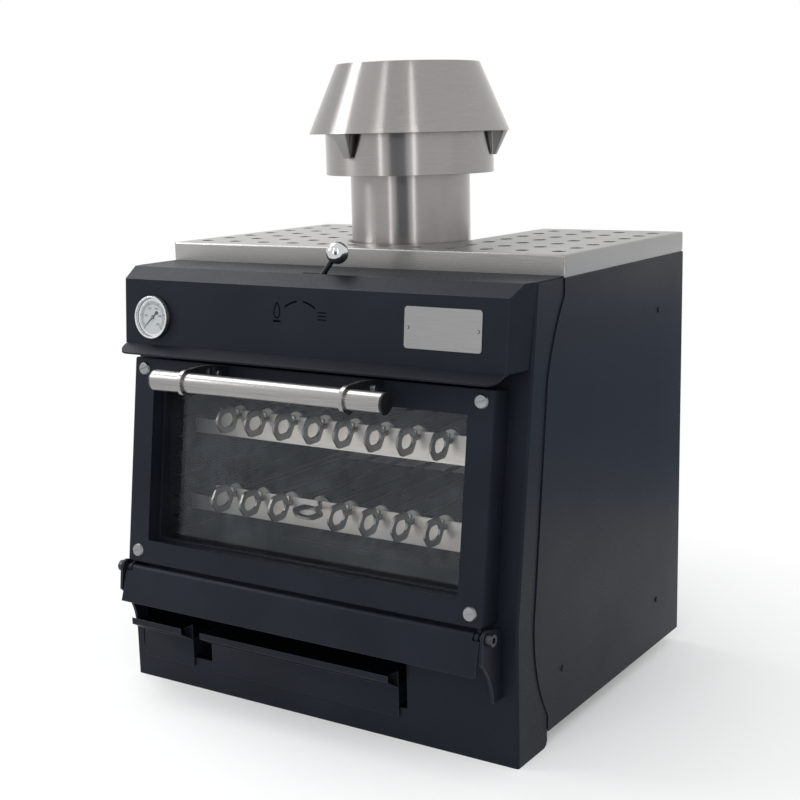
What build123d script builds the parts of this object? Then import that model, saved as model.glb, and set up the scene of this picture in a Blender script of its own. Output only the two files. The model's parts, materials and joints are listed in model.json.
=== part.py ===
from build123d import *
import os
from math import atan, cos, hypot, radians, sin, tan

os.makedirs("parts", exist_ok=True)

# Counter-top charcoal oven, closed, in millimetres. The front looks towards -Y.
# The origin is on the floor, under the middle of the whole oven.

# Body
body_width = 740
body_depth = 447
deck_height = 695
knee_height = 209
lean = 7.75
skirt_reach = 147
sheet = 3
cover = 2
return_width = 90
foot_radius = 12
bend_radius = 4
base_height = 24
rear_foot_x = 250
rear_foot_back = 330
rear_foot_radius = 20
rear_foot_height = 12
rear_stem_radius = 7
side_flange = 23
flange_gap = 3.3
side_screw_radius = 2.5
seam = 0.3
running = 0.05

# Door
door_side_margin = 35.5
door_bottom = 4
door_top = 340
door_gap = 1.5
door_inner_depth = 17
door_depth = 42
window_side = 41.5
window_sill = 38
window_step = 3
door_round = 4
face_round = 2
window_round = 3
mouth_lap = 10
seal_lap = 13
mouth_rise = 16
mouth_drop = 15
seal_rise = 6
seal_drop = 5
glass_lap = 5
glass_thickness = 4
glass_set = 0.5
seal_band = 8
seal_radius = 12
seal_proud = 1
door_screw_radius = 11
door_screw_shank = 4
door_screw_side = 20.5
door_screw_rise = 19
door_screw_drop = 18

# Door handle
handle_stand = 85
handle_drop = 26.4
handle_radius = 16
handle_wall = 2
handle_length = 420
cap_length = 3
cap_plug = 12
bracket_spread = 296
bracket_root_half = 23
bracket_arc_above = 26
bracket_arc_below = 16
bracket_thickness = 7
collar_radius = 20.5
tab_thickness = 5
tab_reach = 33
tab_above = 24
tab_below = 16
bracket_bolts_out = (17, 25)
bracket_bolts_up = (-8, 14)
bracket_bolt_radius = 3
bracket_bolt_head = 5.5
bracket_nut_height = 5
bracket_head_height = 4

# Door hinge and apron
pivot_out = 40.2
pivot_up = -8.5
pivot_radius = 4
knuckle_radius = 7
hinge_side_gap = 3.5
hinge_plate_thickness = 5
hinge_plate_round = 13
hinge_bolt_head = 9
hinge_bolt_length = 45
hinge_head_height = 10
hinge_socket_radius = 4.5
hinge_socket_depth = 6
lug_thickness = 6
lug_play = 3
lug_relief = 1.5
lug_root = 2
knuckle_play = 1.5
apron_length = 56
apron_sheet = 2.5
apron_rest = 18

# Top plate and deck
plate_height = 30
plate_sheet = 1.5
plate_radius = 5
hole_radius = 11
hole_pitch_x = 61
hole_pitch_y = 58
hole_columns = 12
hole_rows = 7
first_hole_row = 49.5
notch_gap = 6

# Flue and rain cap
flue_radius = 98.5
flue_wall = 2
flue_seat = 14
flue_back = 175
flue_rise = 155
drum_radius = 138
drum_rise = 139
drum_height = 91
cone_bottom_radius = 164.5
cone_top_radius = 117
cone_rise = 205
cone_height = 110
gusset_foot_rise = 28
gusset_head_rise = 12
gusset_turns = (-101, 19, 139)
gusset_sheet = 2
gusset_flange = 2.5
gusset_foot_width = 13
gusset_head_width = 30
gusset_foot_reach = 6

# Damper
shaft_drop = 18.3
shaft_radius = 5
shaft_end = 7
shaft_tail = 10
lever_forward = 98
lever_tilt = 40.1
lever_length = 66
lever_radius = 4.25
hub_radius = 10
hub_width = 10
ball_radius = 17
damper_angle = 15
damper_gap = 2.5
damper_sheet = 2
slot_half = 24
slot_play = 1

# Hood, visor and what is on them
hood_strip = 105
bevel_reach = 136.4
bevel_drop = 17.3
fascia_reach = 146
fascia_drop = 121
hood_front_inset = 19
hood_back_inset = 4
hood_bend = 84
fold_in = 1
fold_down = 2
visor_reach = 24
visor_drop = 11
visor_root_depth = 10
gauge_from_side = 78.4
gauge_drop = 77
gauge_radius = 33
gauge_wall = 2
gauge_depth = 7
bezel_radius = 35
bezel_start = 3
bezel_depth = 6
dial_gap = 0.5
dial_lift = 2
dial_thickness = 0.8
needle_lift = 3.4
needle_thickness = 0.8
needle_angle = 222
needle_length = 22
needle_root = 2.6
needle_hub = 3
needle_tail = 11
tail_radius = 3
tail_width = 2.4
pin_radius = 1.2
pin_length = 2.4
pane_lift = 5.4
pane_thickness = 1.6
pane_gap = 0.2
boss_radius = 7
boss_length = 10
probe_radius = 3.5
probe_length = 130
probe_relief = 15
blank_plate_from_side = 120
blank_plate_drop = 65
blank_plate_width = 127
blank_plate_height = 60
blank_plate_round = 5
blank_plate_sheet = 1.2
rivet_radius = 2.5
rivet_inset = 6
rivet_height = 2.4

# Cavity
cavity_side_gap = 66
cavity_floor = 205
cavity_drop = 63
cavity_back_gap = 47
insulation_thickness = 15
rib_depth = 8
rib_height = 6
rib_pitch = 32
rib_count = 9
rib_front_gap = 30
rib_back_gap = 20
grate_width = 420
grate_depth = 260
grate_back = 180
grate_bars = 13
grate_lip = 12
grate_thickness = 8
grate_round = 10
grate_slot = 16
grate_rim = 20
insulation_gap = 1

# Skewers and the racks that carry them
skewer_pitch = 58
skewer_count = 8
skewer_radius = 4
blade_side = 5.6
disc_radius = 17.5
disc_thickness = 5
ring_length = 58
ring_height = 42
ring_thickness = 4
ring_band = 10
ring_radius = 10
ring_gap = 4
disc_play = 0.5
journal_length = 30
journal_lap = 1
tip_length = 12
rail_height = 46
rail_stub = 24
rail_end = 42
rail_thickness = 2.5
rail_above = 10
rack_side_gap = 5
rack_back_gap = 50
runner = 10
upper_axis = 446
upper_rail_forward = 46
lower_axis = 318
lower_rail_forward = 67

# Drawers
front_standoff = 4
front_bottom = 37.5
front_top = 84.5
lip_reach = 28
lip_rise = 17.5
lip_hem = 10.5
drawer_sheet = 2
corner_tab = 18
corner_tab_slope = 9
tray_bottom = 56
tray_side_gap = 3
ash_left = -198
ash_right = 167
ash_back_gap = 164
air_left = -346
air_right = -238
air_depth = 300
opening_left = -352
opening_right = 180
opening_bottom = 52
opening_top = 165

# Places that follow from the sizes above
half_width = body_width / 2
frame_half = half_width - cover
frame_top = deck_height - sheet
slope = tan(radians(lean))
door_width = body_width - 2 * door_side_margin
door_face = door_gap + door_depth
door_seam = door_gap + door_inner_depth
window_width = door_width - 2 * window_side
window_bottom = door_bottom + window_sill
window_top = door_top - window_sill
mouth_width = window_width + 2 * mouth_lap
mouth_bottom = door_bottom + mouth_rise
mouth_top = door_top - mouth_drop
seal_width = mouth_width + 2 * seal_lap
seal_bottom = door_bottom + seal_rise
seal_top = door_top - seal_drop
handle_out = door_face + handle_stand
handle_height = door_top - handle_drop
hinge_plate_inside = door_width / 2 + hinge_side_gap
lug_inside = door_width / 2 - hinge_side_gap - lug_thickness
knuckle_width = 2 * (lug_inside - lug_play)
shaft_height = deck_height - shaft_drop
flue_top = deck_height + flue_rise
drum_bottom = deck_height + drum_rise
drum_top = drum_bottom + drum_height
cone_bottom = deck_height + cone_rise
cone_top = cone_bottom + cone_height
bevel_height = deck_height - bevel_drop
fascia_bottom = deck_height - fascia_drop
hood_front_half = half_width - hood_front_inset
hood_back_half = half_width - hood_back_inset
gauge_x = gauge_from_side - half_width
gauge_height = deck_height - gauge_drop
plate_x = half_width - blank_plate_from_side
plate_z = deck_height - blank_plate_drop
cavity_half = half_width - cavity_side_gap
cavity_roof = deck_height - cavity_drop
cavity_back = body_depth - cavity_back_gap
rack_half = cavity_half - rack_side_gap
rack_back = cavity_back - rack_back_gap
dial_radius = gauge_radius - gauge_wall - dial_gap
rail_half = skewer_pitch * (skewer_count - 1) / 2 + rail_end
handle_reach = (
    skirt_reach
    + handle_out * cos(radians(lean))
    - handle_height * sin(radians(lean))
    + collar_radius
)
plate_front = (handle_reach - body_depth) / 2
plate_back = plate_front + body_depth
skirt_y = plate_front - skirt_reach
flue_y = plate_front + flue_back
front_plane = Plane(
    origin=(0, skirt_y, knee_height),
    x_dir=(1, 0, 0),
    z_dir=(0, -cos(radians(lean)), sin(radians(lean))),
)


def face_y(height):
    """Y of the front frame's outer face at a height."""
    return skirt_y + max(0, height - knee_height) * slope


def at(out, up):
    """Y and Z of a point that lies out from the leaning front, and up along it."""
    y = skirt_y - out * cos(radians(lean)) + up * sin(radians(lean))
    z = knee_height + out * sin(radians(lean)) + up * cos(radians(lean))
    return (y, z)


def save(builder, name):
    """Label a finished piece and write it."""
    builder.part.label = name
    export_step(builder.part, f"parts/{name}.step")


pivot = at(pivot_out, pivot_up)
outward = Axis(front_plane.origin, front_plane.z_dir)
door_screw_places = [
    (x, up)
    for x in (door_screw_side - door_width / 2, door_width / 2 - door_screw_side)
    for up in (door_bottom + door_screw_rise, door_top - door_screw_drop)
]
bracket_bolt_places = [
    at(door_face + out, handle_height + up)
    for out, up in zip(bracket_bolts_out, bracket_bolts_up)
]
handle_axis = at(handle_out, handle_height)
inner_front = sheet / cos(radians(lean))

# Front frame: one folded sheet, leaning above the knee, with both side returns
with BuildPart() as front_frame:
    with BuildSketch(Plane.YZ.offset(-frame_half)) as frame_side:
        with BuildLine():
            Polyline(
                (skirt_y, 0),
                (skirt_y, knee_height),
                (face_y(frame_top), frame_top),
                (face_y(frame_top) + return_width, frame_top),
                (skirt_y + return_width, knee_height),
                (skirt_y + return_width, 0),
                close=True,
            )
        make_face()
        fillet(frame_side.vertices().group_by(Axis.Y)[0].sort_by(Axis.X)[-1], foot_radius)
    extrude(amount=2 * frame_half)
    corner_edges = [
        edge
        for edge in front_frame.edges()
        if abs(abs(edge.center().X) - frame_half) < 0.01
        and abs(edge.center().Y - face_y(edge.center().Z)) < 0.01
    ]
    fillet(corner_edges, bend_radius)
    with BuildSketch(Plane.YZ.offset(-frame_half + sheet)):
        with BuildLine():
            Polyline(
                (skirt_y + inner_front, -sheet),
                (skirt_y + inner_front, knee_height),
                (face_y(frame_top + sheet) + inner_front, frame_top + sheet),
                (face_y(frame_top) + 2 * return_width, frame_top + sheet),
                (face_y(frame_top) + 2 * return_width, -sheet),
                close=True,
            )
        make_face()
    extrude(amount=2 * (frame_half - sheet), mode=Mode.SUBTRACT)
    with BuildSketch(front_plane.offset(-2 * sheet)):
        with Locations((0, (mouth_bottom + mouth_top) / 2)):
            RectangleRounded(mouth_width, mouth_top - mouth_bottom, bend_radius)
    extrude(amount=3 * sheet, mode=Mode.SUBTRACT)
    with BuildSketch(Plane.XZ.offset(-skirt_y - 2 * sheet)):
        with Locations(((opening_left + opening_right) / 2, (opening_bottom + opening_top) / 2)):
            RectangleRounded(
                opening_right - opening_left, opening_top - opening_bottom, sheet
            )
    extrude(amount=3 * sheet, mode=Mode.SUBTRACT)
    with BuildSketch(Plane.XZ.offset(-face_y(shaft_height) - 3 * sheet)):
        with Locations((0, shaft_height)):
            Circle(shaft_radius + running)
        with Locations((gauge_x, gauge_height)):
            Circle(probe_relief)
    extrude(amount=8 * sheet, mode=Mode.SUBTRACT)
save(front_frame, "front_frame")


def side_panel(side, name):
    """Side cover sheet with a swept front edge and folded back and top edges."""
    toe = (plate_front - 57, base_height)
    heel = (plate_front - 57, base_height + 26)
    shin = (plate_front - 88, knee_height - 94)
    belly = (plate_front - 98.5, knee_height - 21)
    knee = (plate_front - 97.6, knee_height)
    waist = (plate_front - 94.5, knee_height + 22)
    chest = (plate_front - 54, deck_height - 143)
    throat = (plate_front - 36, deck_height - 91)
    neck = (plate_front - 4, deck_height - 33)
    collar = (plate_front, deck_height - 27)
    inner = side * (half_width - cover)
    flange_front = face_y(frame_top) + return_width + flange_gap
    with BuildPart() as panel:
        with BuildSketch(Plane.YZ.offset(inner)):
            with BuildLine():
                Line(toe, heel)
                ThreePointArc(heel, shin, belly)
                ThreePointArc(belly, knee, waist)
                Line(waist, chest)
                ThreePointArc(chest, throat, neck)
                Line(neck, collar)
                Line(collar, (plate_front, frame_top))
                Line((plate_front, frame_top), (plate_back, frame_top))
                Line((plate_back, frame_top), (plate_back, base_height))
                Line((plate_back, base_height), toe)
            make_face()
        extrude(amount=side * cover)
        with Locations((inner - side * side_flange / 2, plate_back - cover / 2, base_height)):
            Box(
                side_flange,
                cover,
                frame_top - base_height,
                align=(Align.CENTER, Align.CENTER, Align.MIN),
            )
        with Locations((inner - side * side_flange / 2, flange_front, frame_top)):
            Box(
                side_flange,
                plate_back - 6 * cover - flange_front,
                cover,
                align=(Align.CENTER, Align.MIN, Align.MAX),
            )
        outer_edges = [
            edge
            for edge in panel.edges().filter_by(Axis.Z)
            if abs(edge.center().X) > half_width - 0.01 and edge.center().Y > plate_back - 0.01
        ]
        fillet(outer_edges, 0.9 * cover)
        with BuildSketch(Plane.YZ.offset(inner)):
            with Locations(*side_screw_places):
                Circle(side_screw_radius + running)
        extrude(amount=side * cover, mode=Mode.SUBTRACT)
    save(panel, name)


side_screw_places = [
    (plate_back - 103, deck_height - 90),
    (plate_back - 98, base_height + 81),
    (plate_front - 9, base_height + 82),
]
side_panel(-1, "side_panel_left")
side_panel(1, "side_panel_right")

# Side screws: pan heads on both sides
with BuildPart() as side_screws:
    for side in (-1, 1):
        for y, z in side_screw_places:
            with BuildSketch(Plane.YZ.offset(side * (half_width - 4 * cover))):
                with Locations((y, z)):
                    Circle(side_screw_radius)
            extrude(amount=side * 4 * cover)
            with BuildSketch(Plane.YZ.offset(side * half_width)):
                with Locations((y, z)):
                    Circle(2 * side_screw_radius)
            extrude(amount=side * cover, taper=25)
save(side_screws, "side_screws")

# Back panel
with BuildPart() as back_panel:
    with Locations((0, plate_back - cover - cover / 2, base_height)):
        Box(
            2 * (half_width - cover) - 2 * seam,
            cover,
            frame_top - base_height - cover - seam,
            align=(Align.CENTER, Align.CENTER, Align.MIN),
        )
save(back_panel, "back_panel")

# Base pan with the four angle runners that carry the drawers
runner_front = skirt_y + inner_front + seam
pan_back = plate_back - 2 * cover - seam
with BuildPart() as base_pan:
    with Locations((0, (runner_front + pan_back) / 2, base_height)):
        Box(
            2 * (frame_half - sheet) - 2 * seam,
            pan_back - runner_front,
            sheet,
            align=(Align.CENTER, Align.CENTER, Align.MIN),
        )
    runner_top = tray_bottom - seam
    for edge, hand in ((ash_left, 1), (ash_right, -1), (air_left, 1), (air_right, -1)):
        x = edge + hand * (tray_side_gap + 2 * sheet)
        with BuildSketch(Plane.XZ.offset(-runner_front)):
            with Locations((x, base_height + sheet)):
                Rectangle(cover, runner_top - base_height - sheet, align=(Align.CENTER, Align.MIN))
            with Locations((x, runner_top)):
                Rectangle(4 * sheet, cover, align=(Align.CENTER, Align.MAX))
        extrude(amount=-air_depth)
save(base_pan, "base_pan")

# Rear feet: turned pads on short stems
foot_y = plate_front + rear_foot_back
foot_align = (Align.CENTER, Align.CENTER, Align.MIN)
with BuildPart() as rear_feet:
    with Locations((-rear_foot_x, foot_y, 0), (rear_foot_x, foot_y, 0)):
        Cylinder(rear_foot_radius, rear_foot_height, align=foot_align)
        Cylinder(rear_stem_radius, base_height, align=foot_align)
    chamfer(rear_feet.edges().group_by(Axis.Z)[0], rear_foot_height / 6)
save(rear_feet, "rear_feet")

# Top deck: closes the body round the flue
with BuildPart() as top_deck:
    with Locations((0, plate_front + seam, frame_top)):
        Box(
            2 * half_width - 2 * cover,
            body_depth - cover - seam,
            sheet,
            align=(Align.CENTER, Align.MIN, Align.MIN),
        )
    with BuildSketch(Plane.XY.offset(frame_top)):
        with Locations((0, flue_y)):
            Circle(flue_radius + seam)
    extrude(amount=sheet, mode=Mode.SUBTRACT)
save(top_deck, "top_deck")

# Perforated top plate: folded down all round, also round the U notch that passes the flue
notch_radius = flue_radius + notch_gap
hole_places = [
    (x, y)
    for x in [(column - (hole_columns - 1) / 2) * hole_pitch_x for column in range(hole_columns)]
    for y in [plate_front + first_hole_row + row * hole_pitch_y for row in range(hole_rows)]
    if hypot(x, min(0, y - flue_y)) > notch_radius + 1.5 * hole_radius
]
with BuildPart() as top_plate:
    with BuildSketch(Plane.XY.offset(deck_height)):
        with Locations((0, plate_front)):
            RectangleRounded(
                body_width, body_depth, plate_radius, align=(Align.CENTER, Align.MIN)
            )
        with Locations((0, flue_y)):
            Circle(notch_radius, mode=Mode.SUBTRACT)
            Rectangle(
                2 * notch_radius,
                body_depth,
                align=(Align.CENTER, Align.MIN),
                mode=Mode.SUBTRACT,
            )
    extrude(amount=plate_height)
    fillet(top_plate.edges().group_by(Axis.Z)[-1], plate_radius - 2)
    offset(amount=-plate_sheet, openings=top_plate.faces().sort_by(Axis.Z)[0])
    with BuildSketch(Plane.XY.offset(deck_height + plate_height)):
        with Locations(*hole_places):
            Circle(hole_radius)
    extrude(amount=-2 * plate_sheet, mode=Mode.SUBTRACT)
save(top_plate, "top_plate")


def plan_outline(inset, back):
    """Plan of the hood: its ends flare out towards the front frame."""
    front_half = hood_front_half - inset
    back_half = hood_back_half - inset
    front = plate_front - fascia_reach - 2 * sheet
    bend = plate_front - hood_bend
    Polyline(
        (-front_half, front),
        (-back_half, bend),
        (-back_half, back),
        (back_half, back),
        (back_half, bend),
        (front_half, front),
        close=True,
    )


# Hollow of the hood, taken out of it below
hollow_front = [
    (plate_front - hood_strip + fold_in, frame_top),
    (plate_front - bevel_reach + sheet, bevel_height - fold_down),
    (plate_front - fascia_reach + sheet, fascia_bottom + sheet),
]
with BuildPart() as hood_hollow:
    with BuildSketch(Plane.YZ.offset(-half_width)):
        with BuildLine():
            Polyline(
                *hollow_front,
                (face_y(fascia_bottom + sheet) + fold_in, fascia_bottom + sheet),
                (face_y(frame_top) + fold_in, frame_top),
                close=True,
            )
        make_face()
    extrude(amount=2 * half_width)
    with BuildSketch(Plane.XY.offset(fascia_bottom - sheet)):
        with BuildLine():
            plan_outline(sheet, plate_front + sheet)
        make_face()
    extrude(amount=deck_height, mode=Mode.INTERSECT)

# Hood: top strip, bevel, leaning fascia and flared ends, one folded sheet
fascia_lean = (fascia_reach - bevel_reach) / (bevel_height - fascia_bottom)


def fascia_y(height):
    """Y of the fascia's outer face at a height."""
    return plate_front - fascia_reach + (height - fascia_bottom) * fascia_lean


fascia_angle = atan(fascia_lean)
gauge_plane = Plane(
    origin=(gauge_x, fascia_y(gauge_height), gauge_height),
    x_dir=(1, 0, 0),
    z_dir=(0, -cos(fascia_angle), sin(fascia_angle)),
)
plate_plane = Plane(
    origin=(plate_x, fascia_y(plate_z), plate_z),
    x_dir=(1, 0, 0),
    z_dir=(0, -cos(fascia_angle), sin(fascia_angle)),
)
with BuildPart() as hood:
    with BuildSketch(Plane.YZ.offset(-half_width)):
        with BuildLine():
            Polyline(
                (plate_front, deck_height),
                (plate_front - hood_strip, deck_height),
                (plate_front - bevel_reach, bevel_height),
                (plate_front - fascia_reach, fascia_bottom),
                (face_y(fascia_bottom) - seam, fascia_bottom),
                (face_y(frame_top) - seam, frame_top),
                (plate_front, frame_top),
                close=True,
            )
        make_face()
    extrude(amount=2 * half_width)
    with BuildSketch(Plane.XY.offset(fascia_bottom - sheet)):
        with BuildLine():
            plan_outline(0, plate_front)
        make_face()
    extrude(amount=deck_height, mode=Mode.INTERSECT)
    add(hood_hollow.part, mode=Mode.SUBTRACT)
    with BuildSketch(Plane.XY.offset(bevel_height - 2 * sheet)):
        with Locations((0, plate_front - lever_forward)):
            SlotOverall(2 * slot_half, 2 * (lever_radius + slot_play))
    extrude(amount=10 * sheet, mode=Mode.SUBTRACT)
    with BuildSketch(gauge_plane.offset(-2 * sheet)):
        Circle(boss_radius + 1)
    extrude(amount=3 * sheet, mode=Mode.SUBTRACT)
save(hood, "hood")

# Visor lip: slopes forward from the foot of the fascia, with rounded ends
visor_width = 2 * hood_front_half
visor_root = (plate_front - fascia_reach - seam, fascia_bottom)
with BuildPart() as visor_lip:
    with BuildSketch(Plane.YZ.offset(-hood_front_half)):
        with BuildLine():
            Polyline(
                visor_root,
                (visor_root[0] - visor_reach, fascia_bottom - visor_drop),
                (visor_root[0] - visor_reach, fascia_bottom - visor_drop - sheet),
                (visor_root[0], fascia_bottom - sheet),
                (visor_root[0] + visor_root_depth, fascia_bottom - sheet),
                (visor_root[0] + visor_root_depth, fascia_bottom - seam),
                (visor_root[0], fascia_bottom - seam),
                close=True,
            )
        make_face()
    extrude(amount=visor_width)
    with BuildSketch(Plane.XY.offset(fascia_bottom - 2 * visor_drop)):
        with Locations((0, visor_root[0] - visor_reach)):
            RectangleRounded(
                visor_width,
                2 * (visor_reach + visor_root_depth),
                0.8 * visor_reach,
                align=(Align.CENTER, Align.MIN),
            )
    extrude(amount=3 * visor_drop, mode=Mode.INTERSECT)
save(visor_lip, "visor_lip")

# Bare stainless plate with its two rivets
rivet_places = [
    (rivet_inset - blank_plate_width / 2, 0),
    (blank_plate_width / 2 - rivet_inset, 0),
]
with BuildPart() as fascia_plate:
    with BuildSketch(plate_plane.offset(running)):
        RectangleRounded(blank_plate_width, blank_plate_height, blank_plate_round)
        with Locations(*rivet_places):
            Circle(rivet_radius + running, mode=Mode.SUBTRACT)
    extrude(amount=blank_plate_sheet)
    with BuildSketch(plate_plane.offset(running)):
        with Locations(*rivet_places):
            Circle(rivet_radius)
    extrude(amount=rivet_height, taper=12)
save(fascia_plate, "fascia_plate")

# Thermometer: cup with its bezel and probe, dial, needle and glass
with BuildPart() as thermometer_case:
    with BuildSketch(gauge_plane.offset(running)):
        Circle(gauge_radius)
    extrude(amount=gauge_depth)
    with BuildSketch(gauge_plane.offset(bezel_start)):
        Circle(bezel_radius)
    extrude(amount=bezel_depth, taper=10)
    with BuildSketch(gauge_plane.offset(dial_lift)):
        Circle(gauge_radius - gauge_wall)
    extrude(amount=bezel_start + bezel_depth, mode=Mode.SUBTRACT)
    with BuildSketch(gauge_plane.offset(running)):
        Circle(boss_radius)
    extrude(amount=-boss_length)
    with BuildSketch(gauge_plane.offset(1 - boss_length)):
        Circle(probe_radius)
    extrude(amount=-probe_length)
save(thermometer_case, "thermometer_case")

with BuildPart() as thermometer_dial:
    with BuildSketch(gauge_plane.offset(dial_lift)):
        Circle(dial_radius)
    extrude(amount=dial_thickness)
    with BuildSketch(gauge_plane.offset(dial_lift + dial_thickness)):
        Circle(pin_radius)
    extrude(amount=pin_length)
save(thermometer_dial, "thermometer_dial")

with BuildPart() as thermometer_needle:
    with BuildSketch(gauge_plane.offset(needle_lift)):
        Circle(needle_hub)
        with Locations(Location((0, 0, 0), (0, 0, needle_angle))):
            Trapezoid(
                needle_root, needle_length, 87, rotation=-90, align=(Align.CENTER, Align.MIN)
            )
            with Locations((-needle_tail / 2, 0)):
                Rectangle(needle_tail, tail_width)
            with Locations((-needle_tail, 0)):
                Circle(tail_radius)
        Circle(pin_radius + running, mode=Mode.SUBTRACT)
    extrude(amount=needle_thickness)
save(thermometer_needle, "thermometer_needle")

with BuildPart() as thermometer_glass:
    with BuildSketch(gauge_plane.offset(pane_lift)):
        Circle(dial_radius - pane_gap)
    extrude(amount=pane_thickness)
save(thermometer_glass, "thermometer_glass")

# Flue tube with its seat on the cavity roof
roof_top = cavity_roof + sheet
with BuildPart() as flue_tube:
    with BuildSketch(Plane.XY.offset(roof_top)):
        with Locations((0, flue_y)):
            Circle(flue_radius)
    extrude(amount=flue_top - roof_top)
    with BuildSketch(Plane.XY.offset(roof_top)):
        with Locations((0, flue_y)):
            Circle(flue_radius + flue_seat)
    extrude(amount=cover)
    with BuildSketch(Plane.XY.offset(roof_top)):
        with Locations((0, flue_y)):
            Circle(flue_radius - flue_wall)
    extrude(amount=flue_top, mode=Mode.SUBTRACT)
    with BuildSketch(Plane.XZ.offset(-flue_y + 2 * flue_radius)):
        with Locations((0, shaft_height)):
            Circle(shaft_radius + 2 * running)
    extrude(amount=-4 * flue_radius, mode=Mode.SUBTRACT)
save(flue_tube, "flue_tube")

# Firebreak drum: a wider cup that stands round the tube, open at the top
with BuildPart() as firebreak_drum:
    with BuildSketch(Plane.XY.offset(drum_bottom)):
        with Locations((0, flue_y)):
            Circle(drum_radius)
    extrude(amount=drum_top - drum_bottom)
    with BuildSketch(Plane.XY.offset(drum_bottom + flue_wall)):
        with Locations((0, flue_y)):
            Circle(drum_radius - flue_wall)
    extrude(amount=drum_top, mode=Mode.SUBTRACT)
    with BuildSketch(Plane.XY.offset(drum_bottom)):
        with Locations((0, flue_y)):
            Circle(flue_radius + running)
    extrude(amount=2 * flue_wall, mode=Mode.SUBTRACT)
save(firebreak_drum, "firebreak_drum")

# Cap: a truncated cone, closed at the top and open below
cone_slope = (cone_bottom_radius - cone_top_radius) / (cone_top - cone_bottom)


def cone_radius(height):
    """Inner radius of the cone at a height."""
    return cone_bottom_radius - flue_wall - (height - cone_bottom) * cone_slope


with BuildPart() as cap_cone:
    with BuildSketch(Plane.XZ):
        with BuildLine():
            Polyline(
                (0, cone_top),
                (cone_top_radius, cone_top),
                (cone_bottom_radius, cone_bottom),
                (cone_bottom_radius - flue_wall, cone_bottom),
                (cone_top_radius - flue_wall, cone_top - flue_wall),
                (0, cone_top - flue_wall),
                close=True,
            )
        make_face()
    revolve(axis=Axis.Z)
cap_cone.part.position = (0, flue_y, 0)
save(cap_cone, "cap_cone")

# Three tapered gussets hold the cap clear of the drum
gusset_foot = drum_bottom + gusset_foot_rise
gusset_head = cone_bottom + gusset_head_rise
with BuildPart() as cap_gussets:
    for turn in gusset_turns:
        radial = Plane(
            origin=(0, flue_y, 0),
            x_dir=(cos(radians(turn)), sin(radians(turn)), 0),
            z_dir=(sin(radians(turn)), -cos(radians(turn)), 0),
        )
        with BuildSketch(radial.offset(-gusset_sheet / 2)):
            with BuildLine():
                Polyline(
                    (drum_radius + seam, gusset_foot),
                    (drum_radius + seam, gusset_head),
                    (cone_radius(gusset_head) - seam, gusset_head),
                    (cone_radius(cone_bottom) - seam - 1, cone_bottom),
                    (drum_radius + gusset_foot_reach, gusset_foot),
                    close=True,
                )
            make_face()
        extrude(amount=gusset_sheet)
        foot_plane = Plane(
            origin=(0, flue_y, gusset_foot),
            x_dir=(cos(radians(turn)), sin(radians(turn)), 0),
            z_dir=(0, 0, 1),
        )
        with BuildSketch(foot_plane):
            with Locations((drum_radius + gusset_foot_reach - gusset_flange / 2, 0)):
                Rectangle(gusset_flange, gusset_foot_width)
        with BuildSketch(foot_plane.offset(cone_bottom - gusset_foot)):
            with Locations((cone_radius(cone_bottom) - gusset_flange, 0)):
                Rectangle(gusset_flange, gusset_head_width)
        loft()
save(cap_gussets, "cap_gussets")

# Damper: butterfly disc on a shaft that runs to the lever
shaft_front = plate_front - lever_forward - shaft_end
with BuildPart() as damper:
    with BuildSketch(Plane.XZ.offset(-shaft_front)):
        with Locations((0, shaft_height)):
            Circle(shaft_radius)
    extrude(amount=-(flue_y + flue_radius + shaft_tail - shaft_front))
    disc_plane = Plane(
        origin=(0, flue_y, shaft_height),
        x_dir=(0, 1, 0),
        z_dir=(-sin(radians(damper_angle)), 0, cos(radians(damper_angle))),
    )
    with BuildSketch(disc_plane.offset(-damper_sheet / 2)):
        Circle(flue_radius - flue_wall - damper_gap)
    extrude(amount=damper_sheet)
save(damper, "damper")

lever_direction = (sin(radians(lever_tilt)), 0, cos(radians(lever_tilt)))
lever_plane = Plane(
    origin=(0, plate_front - lever_forward, shaft_height),
    x_dir=(0, 1, 0),
    z_dir=lever_direction,
)
with BuildPart() as lever_rod:
    with BuildSketch(Plane.XZ.offset(-plate_front + lever_forward - hub_width / 2)):
        with Locations((0, shaft_height)):
            Circle(hub_radius)
    extrude(amount=hub_width)
    with BuildSketch(lever_plane):
        Circle(lever_radius)
    extrude(amount=lever_length)
    with BuildSketch(Plane.XZ.offset(-plate_front + lever_forward - hub_width / 2)):
        with Locations((0, shaft_height)):
            Circle(shaft_radius + running)
    extrude(amount=hub_width, mode=Mode.SUBTRACT)
save(lever_rod, "lever_rod")

with BuildPart() as lever_ball:
    with Locations(lever_plane.offset(lever_length)):
        Sphere(ball_radius)
    with BuildSketch(lever_plane.offset(lever_length - 2 * ball_radius)):
        Circle(lever_radius + running)
    extrude(amount=2 * ball_radius, mode=Mode.SUBTRACT)
save(lever_ball, "lever_ball")

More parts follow.
